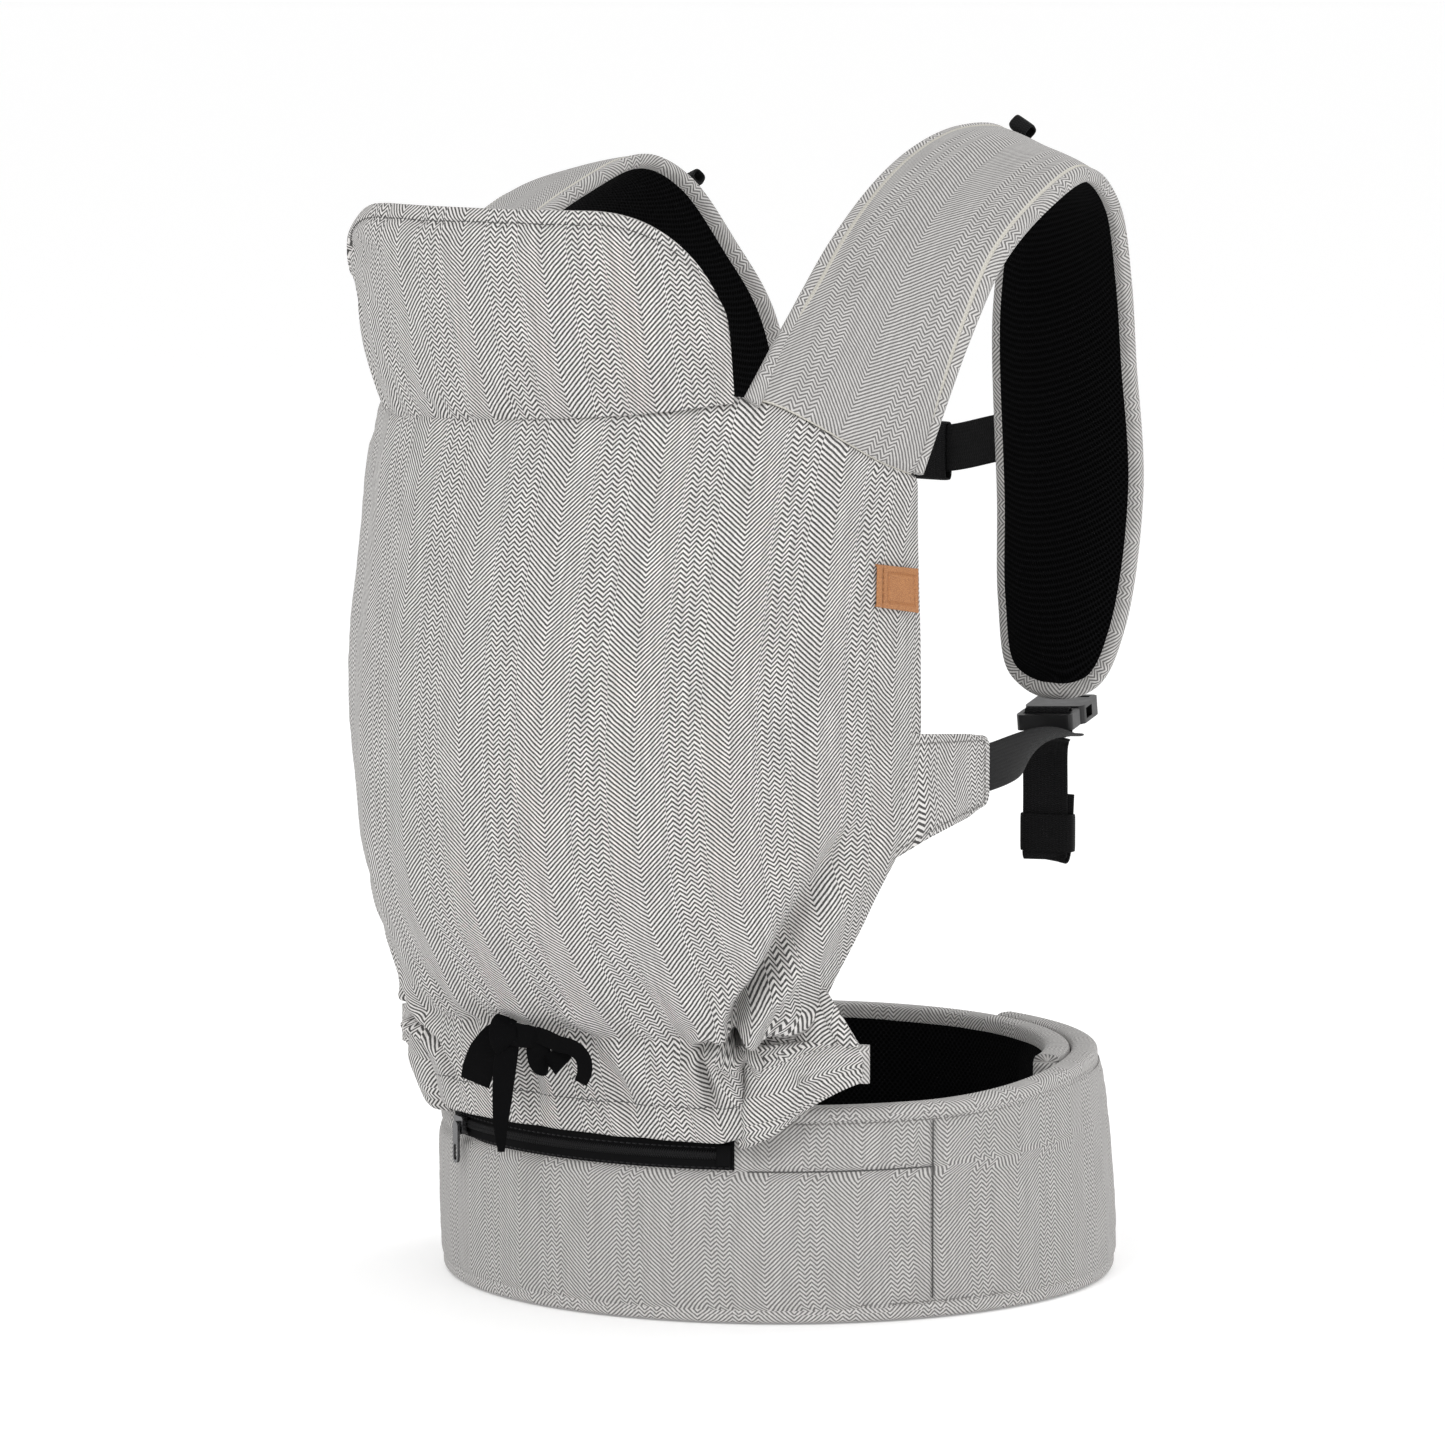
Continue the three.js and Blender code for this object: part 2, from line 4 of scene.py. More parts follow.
import bmesh
import bpy
import numpy as np
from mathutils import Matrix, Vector


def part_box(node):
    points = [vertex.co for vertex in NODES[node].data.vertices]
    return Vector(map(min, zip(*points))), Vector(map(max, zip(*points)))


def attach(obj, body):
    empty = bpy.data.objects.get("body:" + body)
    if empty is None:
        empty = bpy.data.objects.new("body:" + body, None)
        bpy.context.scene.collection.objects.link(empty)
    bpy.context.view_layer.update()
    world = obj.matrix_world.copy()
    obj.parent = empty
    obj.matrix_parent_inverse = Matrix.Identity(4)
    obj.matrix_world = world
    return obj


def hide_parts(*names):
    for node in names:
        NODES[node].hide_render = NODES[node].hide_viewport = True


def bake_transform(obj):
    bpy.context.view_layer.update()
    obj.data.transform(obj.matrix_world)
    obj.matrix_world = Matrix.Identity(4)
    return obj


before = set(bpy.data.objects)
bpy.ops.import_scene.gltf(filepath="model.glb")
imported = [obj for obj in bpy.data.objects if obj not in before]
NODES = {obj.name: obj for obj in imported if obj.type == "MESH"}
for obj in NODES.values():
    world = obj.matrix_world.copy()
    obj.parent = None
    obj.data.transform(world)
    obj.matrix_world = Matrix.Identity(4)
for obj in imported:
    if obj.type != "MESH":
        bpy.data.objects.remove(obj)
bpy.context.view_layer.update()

TAU = 2 * math.pi
UP = np.array([0, 0, 1.0])
WELD = 2e-6                 # metres within which the corners of two patches are one
SETTLE_FRAMES = 20

# ------------------------------------------------------------------ places, read from the frame
# Shapes are worked out in millimetres about the centre of the belt ring, and put in the frame by
# `place`.
BELT_LOW, BELT_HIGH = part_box("belt_cover")
BELT_RADIUS = 500 * (BELT_HIGH.x - BELT_LOW.x)
CENTRE_Y = BELT_LOW.y + BELT_RADIUS / 1000
BELT_HEIGHT = 1000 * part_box("belt_top_binding")[1].z
HEADREST_TOP = 1000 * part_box("headrest")[1].z

BELT_THICKNESS = 12.6
BELT_TUCKED_RADIUS = BELT_RADIUS - 24
BELT_ENDS = (-250, 168)     # degrees from the front, towards +X; the first end is tucked inside

SEAM_FRONT = 462            # height of the panel's top seam at the front
CORNER_ANGLE = 47           # where headrest and strap meet on that seam
# Height, half-width, centre Y and depth of the panel's half-oval sections.
PANEL_STATIONS = np.array([
    (92, 112, -144, 39), (120, 119, -143, 48), (150, 127, -140, 60), (170, 134, -132, 90),
    (206, 147, -118, 131), (244, 158, -105, 155), (303, 165, -94, 170), (350, 165, -94, 168),
    (430, 163, -93, 152), (490, 158, -89, 138),
], float)

CHANNEL = 147               # height of the drawstring's channel round the panel's foot
ZIP_LOW, ZIP_TOP = 80, 97
SEAM_AT = 64                # angle of the belt's upright seams
POCKET_SEAM = 79            # height of the level seam between them
FLAP_TIP = (151.5, -126.5)
CHEST_Y, CHEST_Z = 120, 444

ROOT_SHARE = 0.34           # share of a strap's length, at its root, built as separate pieces left in place
# The straps' edges from the panel's seam, over the shoulder, to the tip; drawn on the right.
STRAP_TIP = [(107, 96, 302)]
RIGHT_NECK = [
    (120, -183.5, 478), (114, -145, 512), (108, -94, 555), (103, -36, 589), (100.6, 18, 604), (93, 71, 599),
    (80, 92, 563), (72, 93, 502), (66, 106, 404), (67, 106, 350), (78, 101, 312),
]
RIGHT_OUTER = [
    (160, -90, 435), (180, -74, 506), (187, -55, 544), (190, -19, 571), (188, 18, 583), (178, 55, 565),
    (168, 80, 524), (160, 97, 482), (156, 110, 413), (146, 107, 338), (132, 103, 309),
]
LEFT_NECK = [
    (120, -183.5, 478), (114, -145, 508), (108, -94, 541), (103, -36, 570), (100, 17.5, 584), (92, 41, 572),
    (82, 67, 537), (72, 88, 498), (66, 106, 407), (67, 106, 350), (78, 101, 312),
]
LEFT_OUTER = [
    (160, -90, 435), (180, -74, 500), (187, -52, 530), (190, -15, 552), (186, 15, 562), (176, 45, 548),
    (168, 72, 515), (160, 95, 480), (156, 110, 415), (146, 107, 338), (132, 103, 309),
]


def place(points):
    """Millimetres about the belt's centre to metres in the frame."""
    return np.asarray(points, float) * 0.001 + np.array([0, CENTRE_Y, 0])


def side_name(name, side):
    return f"{name}_{'right' if side > 0 else 'left'}"


def sided(side):
    """How names and points drawn on the right are turned to a side."""
    return (lambda part: side_name(part, side)), np.array([side, 1, 1])


# ------------------------------------------------------------------ small maths helpers
def smoothstep(x, a, b):
    t = np.clip((np.asarray(x, float) - a) / (b - a), 0, 1)
    return t * t * (3 - 2 * t)


def mix(a, b, t):
    return a + (b - a) * t


def unit(v):
    return v / np.maximum(np.linalg.norm(v, axis=-1, keepdims=True), 1e-12)


def bell(x, centre, width):
    return np.exp(-(((x - centre) / width) ** 2))


def spline(points, count):
    """Centripetal Catmull-Rom curve through the points, as `count` evenly spaced points."""
    p = np.asarray(points, float)
    p = np.vstack([2 * p[0] - p[1], p, 2 * p[-1] - p[-2]])
    out = []
    for a, b, c, d in zip(p[:-3], p[1:-2], p[2:-1], p[3:]):
        t0 = 0.0
        t1 = t0 + np.linalg.norm(b - a) ** 0.5
        t2 = t1 + np.linalg.norm(c - b) ** 0.5
        t3 = t2 + np.linalg.norm(d - c) ** 0.5
        t = np.linspace(t1, t2, 24, endpoint=False)[:, None]
        ab = (t1 - t) / (t1 - t0) * a + (t - t0) / (t1 - t0) * b
        bc = (t2 - t) / (t2 - t1) * b + (t - t1) / (t2 - t1) * c
        cd = (t3 - t) / (t3 - t2) * c + (t - t2) / (t3 - t2) * d
        abc = (t2 - t) / (t2 - t0) * ab + (t - t0) / (t2 - t0) * bc
        bcd = (t3 - t) / (t3 - t1) * bc + (t - t1) / (t3 - t1) * cd
        out.append((t2 - t) / (t2 - t1) * abc + (t - t1) / (t2 - t1) * bcd)
    return resample(np.vstack(out + [p[-2:-1]]), count)


def path_lengths(points):
    steps = np.linalg.norm(np.diff(points, axis=0), axis=1)
    return np.concatenate([[0], np.cumsum(steps)])


def sampled(at, run, columns):
    """Each column of an array, read off at given places along its rows' positions."""
    return np.stack([np.interp(at, run, column) for column in columns.T], -1)


def resample(points, count):
    run = path_lengths(points)
    return sampled(np.linspace(0, run[-1], count), run, points)


def smooth_rows(values, passes):
    out = np.array(values, float)
    for _ in range(passes):
        out[1:-1] = 0.25 * out[:-2] + 0.5 * out[1:-1] + 0.25 * out[2:]
    return out


def ripple(seed, u, v, waves=7):
    """Gentle seeded waviness, about -1 to 1, over two coordinates in millimetres."""
    random = np.random.default_rng(seed)
    total = 0
    for _ in range(waves):
        length = random.uniform(35, 110)
        heading = random.uniform(0, TAU)
        phase = random.uniform(0, TAU)
        total = total + np.sin(TAU * (u * math.cos(heading) + v * math.sin(heading)) / length + phase)
    return total / waves ** 0.5 / 1.2


# ------------------------------------------------------------------ mesh helpers
def grid_normals(points):
    du = np.gradient(points, axis=1)
    dv = np.gradient(points, axis=0)
    return unit(np.cross(du, dv))


def to_uv(u, v):
    """UV coordinates in metres from two arrays in millimetres."""
    return np.stack([u, v], -1) * 0.001


def cloth_uv(points):
    """UVs along the cloth: x across the columns from the middle, y along the rows."""
    rows, columns = points.shape[:2]
    steps = np.linalg.norm(np.diff(points, axis=1), axis=2)
    u = np.concatenate([np.zeros((rows, 1)), np.cumsum(steps, 1)], 1)
    u -= u[:, columns // 2:columns // 2 + 1]
    steps = np.linalg.norm(np.diff(points, axis=0), axis=2)
    return to_uv(u, np.concatenate([np.zeros((1, columns)), np.cumsum(steps, 0)], 0))


def grid_quads(rows, columns):
    index = np.arange(rows * columns).reshape(rows, columns)
    return np.stack([index[:-1, :-1], index[:-1, 1:], index[1:, 1:], index[1:, :-1]], -1).reshape(-1, 4)


def add_object(name, data):
    piece = bpy.data.objects.new(name, data)
    bpy.context.scene.collection.objects.link(piece)
    return piece


def patch_object(name, patches, material):
    """One welded mesh from grids of points (mm) with their UVs; shaded smooth."""
    coords, loops, uvs, base = [], [], [], 0
    for points, uv in patches:
        quads = grid_quads(*points.shape[:2])
        coords.append(place(points).reshape(-1, 3))
        loops.append(quads + base)
        uvs.append(uv.reshape(-1, 2)[quads])
        base += len(coords[-1])
    coords, loops, uvs = np.vstack(coords), np.vstack(loops), np.vstack(uvs)
    data = bpy.data.meshes.new(name)
    data.vertices.add(len(coords))
    data.vertices.foreach_set("co", coords.astype(np.float32).ravel())
    data.loops.add(loops.size)
    data.loops.foreach_set("vertex_index", loops.astype(np.int32).ravel())
    data.polygons.add(len(loops))
    data.polygons.foreach_set("loop_start", np.arange(0, loops.size, 4, dtype=np.int32))
    layer = data.uv_layers.new(name="UVMap")
    layer.data.foreach_set("uv", uvs.astype(np.float32).ravel())
    data.update(calc_edges=True)
    data.validate()
    tidy = bmesh.new()
    tidy.from_mesh(data)
    bmesh.ops.remove_doubles(tidy, verts=tidy.verts, dist=WELD)
    bmesh.ops.recalc_face_normals(tidy, faces=tidy.faces)
    for face in tidy.faces:
        face.smooth = True
    tidy.to_mesh(data)
    tidy.free()
    data.materials.append(material)
    return add_object(name, data)


def refine(grid, rows, columns):
    """The same surface with more points, by a cubic curve through the rows and the columns."""
    for axis, count in ((0, rows), (1, columns)):
        grid = np.moveaxis(grid, axis, 0)
        p = np.concatenate([2 * grid[:1] - grid[1:2], grid, 2 * grid[-1:] - grid[-2:-1]])
        at = np.linspace(0, len(grid) - 1, count)
        i = np.clip(at.astype(int), 0, len(grid) - 2)
        t = (at - i)[:, None, None]
        a, b, c, d = p[i], p[i + 1], p[i + 2], p[i + 3]
        bend = (2 * a - 5 * b + 4 * c - d) * t ** 2 + (3 * b - a - 3 * c + d) * t ** 3
        grid = np.moveaxis(b + 0.5 * ((c - a) * t + bend), 0, axis)
    return grid


def settle(batch):
    """Cloth simulation. Each grid of cloth (mm) keeps its held points, is given a little more cloth
    than its shape needs and a light pressure from behind, and settles into soft puckers."""
    made = {}
    for name, item in batch.items():
        quads = grid_quads(*item["grid"].shape[:2])
        data = bpy.data.meshes.new("Settle_" + name)
        data.from_pydata(place(item["grid"]).reshape(-1, 3).tolist(), [], quads.tolist())
        piece = add_object(data.name, data)
        held = piece.vertex_groups.new(name="Held")
        held.add([int(i) for i in np.flatnonzero(item["held"])], 1.0, "REPLACE")
        cloth = piece.modifiers.new("Cloth", "CLOTH")
        rule = cloth.settings
        rule.quality = 6
        rule.mass = 0.02
        rule.tension_stiffness = rule.compression_stiffness = 15
        rule.shear_stiffness = 6
        rule.bending_stiffness = item.get("bending", 0.08)
        rule.air_damping = 2
        rule.use_pressure = True
        rule.uniform_pressure_force = 1.0
        rule.effector_weights.gravity = 0
        rule.vertex_group_mass = "Held"
        rule.shrink_min = rule.shrink_max = -item["slack"]
        cloth.collision_settings.use_collision = False
        cloth.point_cache.frame_start, cloth.point_cache.frame_end = 1, SETTLE_FRAMES
        made[name] = piece
    for step in range(1, SETTLE_FRAMES + 1):
        bpy.context.scene.frame_set(step)
    graph = bpy.context.evaluated_depsgraph_get()
    settled = {}
    for name, piece in made.items():
        start = place(batch[name]["grid"])
        found = np.empty(start.size, np.float32)
        piece.evaluated_get(graph).data.vertices.foreach_get("co", found)
        moved = 1000 * (found.reshape(start.shape) - start)
        far = np.linalg.norm(moved, axis=-1, keepdims=True)
        cap = batch[name]["cap"]
        moved *= cap * np.tanh(far / cap) / np.maximum(far, 1e-9)
        settled[name] = batch[name]["grid"] + moved
        data = piece.data
        bpy.data.objects.remove(piece)
        bpy.data.meshes.remove(data)
    bpy.context.scene.frame_set(1)
    return settled


def edges_held(rows, columns):
    held = np.zeros((rows, columns), bool)
    held[[0, -1]] = held[:, [0, -1]] = True
    return held


def rims(top, bottom, uv):
    """The four strips that close two matching grids into a solid; the weave runs on across them."""
    strips = []
    sides = (np.s_[0, :], (0, -1)), (np.s_[-1, :], (0, 1)), (np.s_[:, 0], (-1, 0)), (np.s_[:, -1], (1, 0))
    for cut, onward in sides:
        a, b = top[cut], bottom[cut]
        step = 0.001 * np.linalg.norm(b - a, axis=-1, keepdims=True) * np.array(onward)
        strips.append((np.stack([a, (a + b) / 2, b]), uv[cut] + step * np.array([0, 0.5, 1])[:, None, None]))
    return strips


def pad(name, outer, inner, material, uv=None):
    """A padded solid between an outer and an inner grid."""
    if uv is None:
        uv = cloth_uv(outer)
    return patch_object(name, [(outer, uv), (inner, uv)] + rims(outer, inner, uv), material)


def sheet(name, points, thickness, material, uv=None):
    """Cloth of some thickness: `points` is its outer face, thickened against its normals."""
    return pad(name, points, points - grid_normals(points) * thickness, material, uv)


def ring_section(width, height, power=2.6, count=20):
    """A rounded-rectangle outline, as (count + 1) points of a superellipse."""
    a = np.linspace(0, TAU, count + 1)
    c, s = np.cos(a), np.sin(a)
    x = np.sign(c) * np.abs(c) ** (2 / power) * width / 2
    y = np.sign(s) * np.abs(s) ** (2 / power) * height / 2
    return np.stack([x, y], 1)


def ring_about(centre, width, depth, across, out, power=4, count=28):
    """A closed rounded rectangle of points about a centre, in the plane of two directions."""
    outline = ring_section(width, depth, power, count)[:-1]
    ring = outline[:, :1] * across + outline[:, 1:] * out + centre
    return np.vstack([ring, ring[:1]])


def sweep_grid(path, across, up, section):
    """Rows of section points along a path; the outline's x runs `across`, its y runs `up`."""
    return path[:, None] + section[..., :1] * across[:, None] + section[..., 1:] * up[:, None]


def capped(rows):
    """Adds a collapsed row at each end, so that a swept tube closes."""
    first = np.repeat(rows[:1].mean(axis=1, keepdims=True), rows.shape[1], 1)
    last = np.repeat(rows[-1:].mean(axis=1, keepdims=True), rows.shape[1], 1)
    return np.concatenate([first, rows, last])


def tube(name, rows, path, around, material):
    """A closed tube from rows of points along a path, with its UVs' x given round the section."""
    run = path_lengths(path)
    uv = to_uv(*np.meshgrid(around, np.concatenate([[0], run, run[-1:]])))
    return patch_object(name, [(capped(rows), uv)], material)


def sweep(name, path, across, up, section, material):
    across, up = (np.broadcast_to(way, path.shape) for way in (across, up))
    return tube(name, sweep_grid(path, across, up, section), path, path_lengths(section), material)


def tangents(path):
    return unit(np.gradient(path, axis=0))


def flat_frame(path, across):
    """Directions across a strip and out of its face, square to its path."""
    along = tangents(path)
    across = unit(across - along * np.sum(across * along, 1, keepdims=True))
    return across, unit(np.cross(across, along))


def webbing_strip(name, path, across, width, thickness=1.5):
    """Flat webbing with softly rounded selvedges."""
    across, up = flat_frame(path, across)
    section = ring_section(width, thickness, power=5, count=28)
    return tube(name, sweep_grid(path, across, up, section), path, section[:, 0], WEBBING)


def hoop(name, ring, up, height, thickness, material, turned=False):
    """A closed band round a ring of points (the last equal to the first), `height` tall along up."""
    along = unit(np.roll(ring[:-1], -1, 0) - np.roll(ring[:-1], 1, 0))
    along = np.vstack([along, along[:1]])
    up = np.broadcast_to(unit(np.asarray(up, float)), along.shape)
    out = unit(np.cross(along, up))
    section = ring_section(height, thickness, power=5, count=24)
    u, v = np.meshgrid(path_lengths(section), path_lengths(ring))
    uv = to_uv(v, u) if turned else to_uv(u, v)
    return patch_object(name, [(sweep_grid(ring, up, out, section), uv)], material)


def beads(name, centres, along, up, length, radius, material):
    """Small rounded bars, as thread or zip teeth, lying along `along` and arching towards `up`."""
    reach = np.linspace(-0.5, 0.5, 5)
    spine = centres[:, None] + along[:, None] * (reach * length)[None, :, None]
    up = np.repeat(unit(up)[:, None], 5, 1)
    side = unit(np.cross(np.repeat(unit(along)[:, None], 5, 1), up))
    arch = np.sqrt(np.clip(1 - (2 * reach) ** 2, 0, 1))
    swell = np.array([0.35, 0.9, 1, 0.9, 0.35])
    spine = spine + up * (arch * radius * 0.9)[None, :, None]
    turn = np.linspace(0, TAU, 7)[None, None, :, None]
    ring = np.cos(turn) * side[:, :, None] + np.sin(turn) * up[:, :, None]
    rows = spine[:, :, None] + ring * (swell * radius)[None, :, None, None]
    return patch_object(name, [(capped(bead), np.zeros((7, 7, 2))) for bead in rows], material)


def stitches(name, path, normals, material, length=2.6, gap=0.9, radius=0.32):
    """A row of sewn stitches along a path."""
    run = path_lengths(path)
    count = max(2, int(run[-1] / (length + gap)))
    middle = (np.arange(count) + 0.5) * run[-1] / count
    start, end = (sampled(middle + shift, run, path) for shift in (-length / 2, length / 2))
    up = sampled(middle, run, np.broadcast_to(normals, path.shape))
    return beads(name, (start + end) / 2, unit(end - start), up, length, radius, material)


# ------------------------------------------------------------------ materials
class Shader:
    """A short way to write node trees: sockets in, sockets out."""

    def __init__(self, name):
        self.material = bpy.data.materials.new(name)
        self.material.use_nodes = True
        self.tree = self.material.node_tree
        self.surface = self.tree.nodes["Principled BSDF"]

    def node(self, kind, **settings):
        made = self.tree.nodes.new(kind)
        for key, value in settings.items():
            setattr(made, key, value)
        return made

    def put(self, socket, value):
        """Sets a socket from another socket, a number, or a colour without its alpha."""
        if hasattr(value, "is_output"):
            self.tree.links.new(value, socket)
        elif value is not None:
            socket.default_value = (*value, 1) if isinstance(value, tuple) else value

    def fill(self, made, values):
        """Sets a node's inputs by name, and gives its first output."""
        for key, value in values.items():
            self.put(made.inputs[key], value)
        return made.outputs[0]

    def math(self, operation, a, b=None, c=None):
        made = self.node("ShaderNodeMath", operation=operation)
        for socket, value in zip(made.inputs, (a, b, c)):
            self.put(socket, value)
        return made.outputs[0]

    def times(self, a, b):
        return self.math("MULTIPLY", a, b)

    def plus(self, a, b):
        return self.math("ADD", a, b)

    def minus(self, a, b):
        return self.math("SUBTRACT", a, b)

    def blend(self, factor, a, b):
        made = self.node("ShaderNodeMix", data_type="RGBA")
        for socket, value in zip((made.inputs["Factor"], *made.inputs[6:8]), (factor, a, b)):
            self.put(socket, value)
        return made.outputs[2]

    def ramp(self, value, low, high):
        made = self.node("ShaderNodeMapRange", interpolation_type="SMOOTHSTEP")
        return self.fill(made, {"Value": value, "From Min": low, "From Max": high})

    def uv(self):
        """UV coordinates in millimetres, as two values."""
        split = self.node("ShaderNodeSeparateXYZ")
        self.put(split.inputs[0], self.node("ShaderNodeUVMap", uv_map="UVMap").outputs[0])
        return [self.times(value, 1000) for value in split.outputs[:2]]

    def vector(self, x, y, z=0.0):
        made = self.node("ShaderNodeCombineXYZ")
        for socket, value in zip(made.inputs, (x, y, z)):
            self.put(socket, value)
        return made.outputs[0]

    def noise(self, vector, scale, detail=2.0, roughness=0.5):
        made = self.node("ShaderNodeTexNoise")
        return self.fill(made, {"Vector": vector, "Scale": scale, "Detail": detail, "Roughness": roughness})

    def object_space(self):
        return self.node("ShaderNodeTexCoord").outputs["Object"]

    def wave(self, value, period):
        """A sine of the value, from 0 to 1."""
        turned = self.math("SINE", self.times(value, TAU / period))
        return self.math("MULTIPLY_ADD", turned, 0.5, 0.5)

    def bump(self, height, distance, strength):
        made = self.node("ShaderNodeBump")
        return self.fill(made, {"Distance": distance, "Strength": strength, "Height": height})

    def finish(self, color, roughness, normal=None, metallic=0.0, sheen=0.0, specular=0.5):
        self.fill(self.surface, {
            "Base Color": color, "Roughness": roughness, "Metallic": metallic, "Normal": normal,
            "Sheen Weight": sheen, "Sheen Roughness": 0.5, "Specular IOR Level": specular,
        })
        return self.material


def herringbone(name="Herringbone", turned=False, contrast=1.0, pitch=2.5, shade=1.0):
    """Broken herringbone twill: a pair of wide legs, then a band of narrow zigzag legs."""
    wide_leg, narrow_leg, narrow_count = 14.5, 3.2, 6
    slope = 0.95
    repeat = 2 * wide_leg + narrow_count * narrow_leg
    s = Shader(name)
    u, v = s.uv()
    if turned:
        u, v = v, u
    drift = s.noise(s.vector(s.times(u, 0.02), s.times(v, 0.02)), 1.0, 2.0)
    u = s.plus(u, s.times(drift, 3.0))
    across = s.math("FLOORED_MODULO", s.plus(u, wide_leg), repeat)
    wide = s.math("ABSOLUTE", s.minus(across, wide_leg))
    narrow = s.math("PINGPONG", s.minus(across, 2 * wide_leg), narrow_leg)
    in_wide = s.math("LESS_THAN", across, 2 * wide_leg)
    rise = s.plus(s.times(in_wide, wide), s.times(s.minus(1.0, in_wide), narrow))
    wander = s.noise(s.vector(s.times(u, 0.12), s.times(v, 0.12)), 1.0, 3.0)
    rise = s.math("MULTIPLY_ADD", rise, slope, s.times(wander, 1.2))
    twill = s.wave(s.minus(v, rise), pitch)
    flecks = s.noise(s.vector(s.times(u, 1.1), s.times(v, 0.9)), 1.0, 3.0, 0.7)
    edge = s.plus(twill, s.times(s.minus(flecks, 0.5), 0.5))
    light = s.ramp(edge, 0.30, 0.68)
    slubs = s.noise(s.vector(s.times(u, 0.5), s.times(v, 0.03)), 1.0, 3.0)
    middle = np.array([0.385, 0.376, 0.368]) * shade
    tone = lambda depth: tuple(middle + contrast * depth * middle)
    dark_yarn = s.blend(s.ramp(flecks, 0.3, 0.72), tone(-0.90), tone(-0.68))
    light_yarn = s.blend(s.ramp(slubs, 0.3, 0.7), tone(0.58), tone(0.92))
    fuzz = s.noise(s.vector(u, v), 2.2, 3.0, 0.7)
    height = s.plus(s.times(twill, 0.8), s.times(fuzz, 0.5))
    normal = s.bump(height, 0.00022, 0.55)
    return s.finish(s.blend(light, dark_yarn, light_yarn), 0.92, normal, sheen=0.08, specular=0.06)


def spacer_mesh():
    """Black knitted spacer mesh: rows of small holes, each row half a step on."""
    step = 3.0
    s = Shader("SpacerMesh")
    u, v = s.uv()
    row = s.math("FLOOR", s.math("DIVIDE", v, step * 0.58))
    shifted = s.plus(u, s.times(s.math("FLOORED_MODULO", row, 2.0), step / 2))
    x = s.minus(s.math("FLOORED_MODULO", shifted, step), step / 2)
    y = s.minus(s.math("FLOORED_MODULO", v, step * 0.58), step * 0.29)
    away = s.math("SQRT", s.plus(s.times(x, x), s.times(y, y)))
    solid = s.ramp(away, 0.6, 1.15)
    knit = s.noise(s.vector(u, v), 3.0, 2.0)
    height = s.plus(solid, s.times(knit, 0.3))
    color = s.blend(solid, (0.0001, 0.0001, 0.0001), (0.0055, 0.0055, 0.006))
    return s.finish(color, 0.9, s.bump(height, 0.0006, 0.9), sheen=0.0, specular=0.04)


def webbing_material(name="Webbing", tone=0.008):
    """Ribbed black webbing: fine cross ribs over lengthwise cords."""
    s = Shader(name)
    u, v = s.uv()
    cords = s.wave(u, 1.9)
    ribs = s.wave(s.plus(v, s.times(s.wave(u, 3.8), 0.6)), 1.15)
    knit = s.noise(s.vector(u, v), 2.5, 2.0)
    height = s.plus(s.times(ribs, 0.7), s.times(cords, 0.3))
    color = s.blend(s.times(height, knit), (tone * 0.3,) * 3, (tone * 2.0, tone * 2.0, tone * 2.2))
    return s.finish(color, 0.66, s.bump(height, 0.0003, 0.9), sheen=0.02, specular=0.12)


def plastic_material():
    """Satin moulded acetal with a fine spark-eroded grain, its sharp edges painted lighter as a painted
    highlight.
    """
    s = Shader("MouldedPlastic")
    space = s.object_space()
    grain = s.noise(space, 2600.0, 2.0)
    scuffs = s.noise(space, 160.0, 4.0, 0.65)
    pointy = s.node("ShaderNodeNewGeometry").outputs["Pointiness"]
    # Convex edges, found by pointiness, get a lighter colour: a painted highlight along the edges.
    edge_highlight = s.ramp(pointy, 0.52, 0.62)
    color = s.blend(edge_highlight, (0.004, 0.004, 0.0044), (0.022, 0.022, 0.023))
    roughness = s.math("MULTIPLY_ADD", scuffs, 0.25, 0.24)
    return s.finish(color, roughness, s.bump(grain, 0.00006, 0.35), specular=0.3)


def leather_material():
    s = Shader("TanLeather")
    u, v = s.uv()
    space = s.vector(u, v)
    cells = s.node("ShaderNodeTexVoronoi", feature="DISTANCE_TO_EDGE")
    s.put(cells.inputs["Vector"], space)
    cells.inputs["Scale"].default_value = 1.4
    grain = s.ramp(cells.outputs["Distance"], 0.0, 0.22)
    cloud = s.noise(space, 0.12, 4.0, 0.6)
    base = s.blend(cloud, (0.40, 0.165, 0.055), (0.56, 0.27, 0.105))
    color = s.blend(grain, (0.30, 0.12, 0.045), base)
    roughness = s.math("MULTIPLY_ADD", cloud, 0.2, 0.42)
    return s.finish(color, roughness, s.bump(grain, 0.00012, 0.6), specular=0.4)


def plain_cloth(name, low, high, roughness=0.8, scale=1.2, sheen=0.1):
    """Small even weave between two tones, for tape, ribbon, foam skin and thread, and for the belt's painted
    seam-shadow cords.
    """
    s = Shader(name)
    u, v = s.uv()
    weave = s.times(s.wave(s.plus(u, v), scale), s.wave(s.minus(u, v), scale))
    fuzz = s.noise(s.vector(u, v), 1.6, 3.0)
    mixed = s.plus(s.times(weave, 0.6), s.times(fuzz, 0.4))
    color = s.blend(mixed, low, high)
    return s.finish(color, roughness, s.bump(mixed, 0.0002, 0.6), sheen=sheen, specular=0.05)


def metal_material():
    s = Shader("ZipMetal")
    space = s.object_space()
    rub = s.noise(space, 420.0, 3.0)
    color = s.blend(rub, (0.05, 0.05, 0.052), (0.15, 0.15, 0.155))
    return s.finish(color, s.math("MULTIPLY_ADD", rub, 0.2, 0.16), s.bump(rub, 0.00004, 0.3), metallic=1.0)


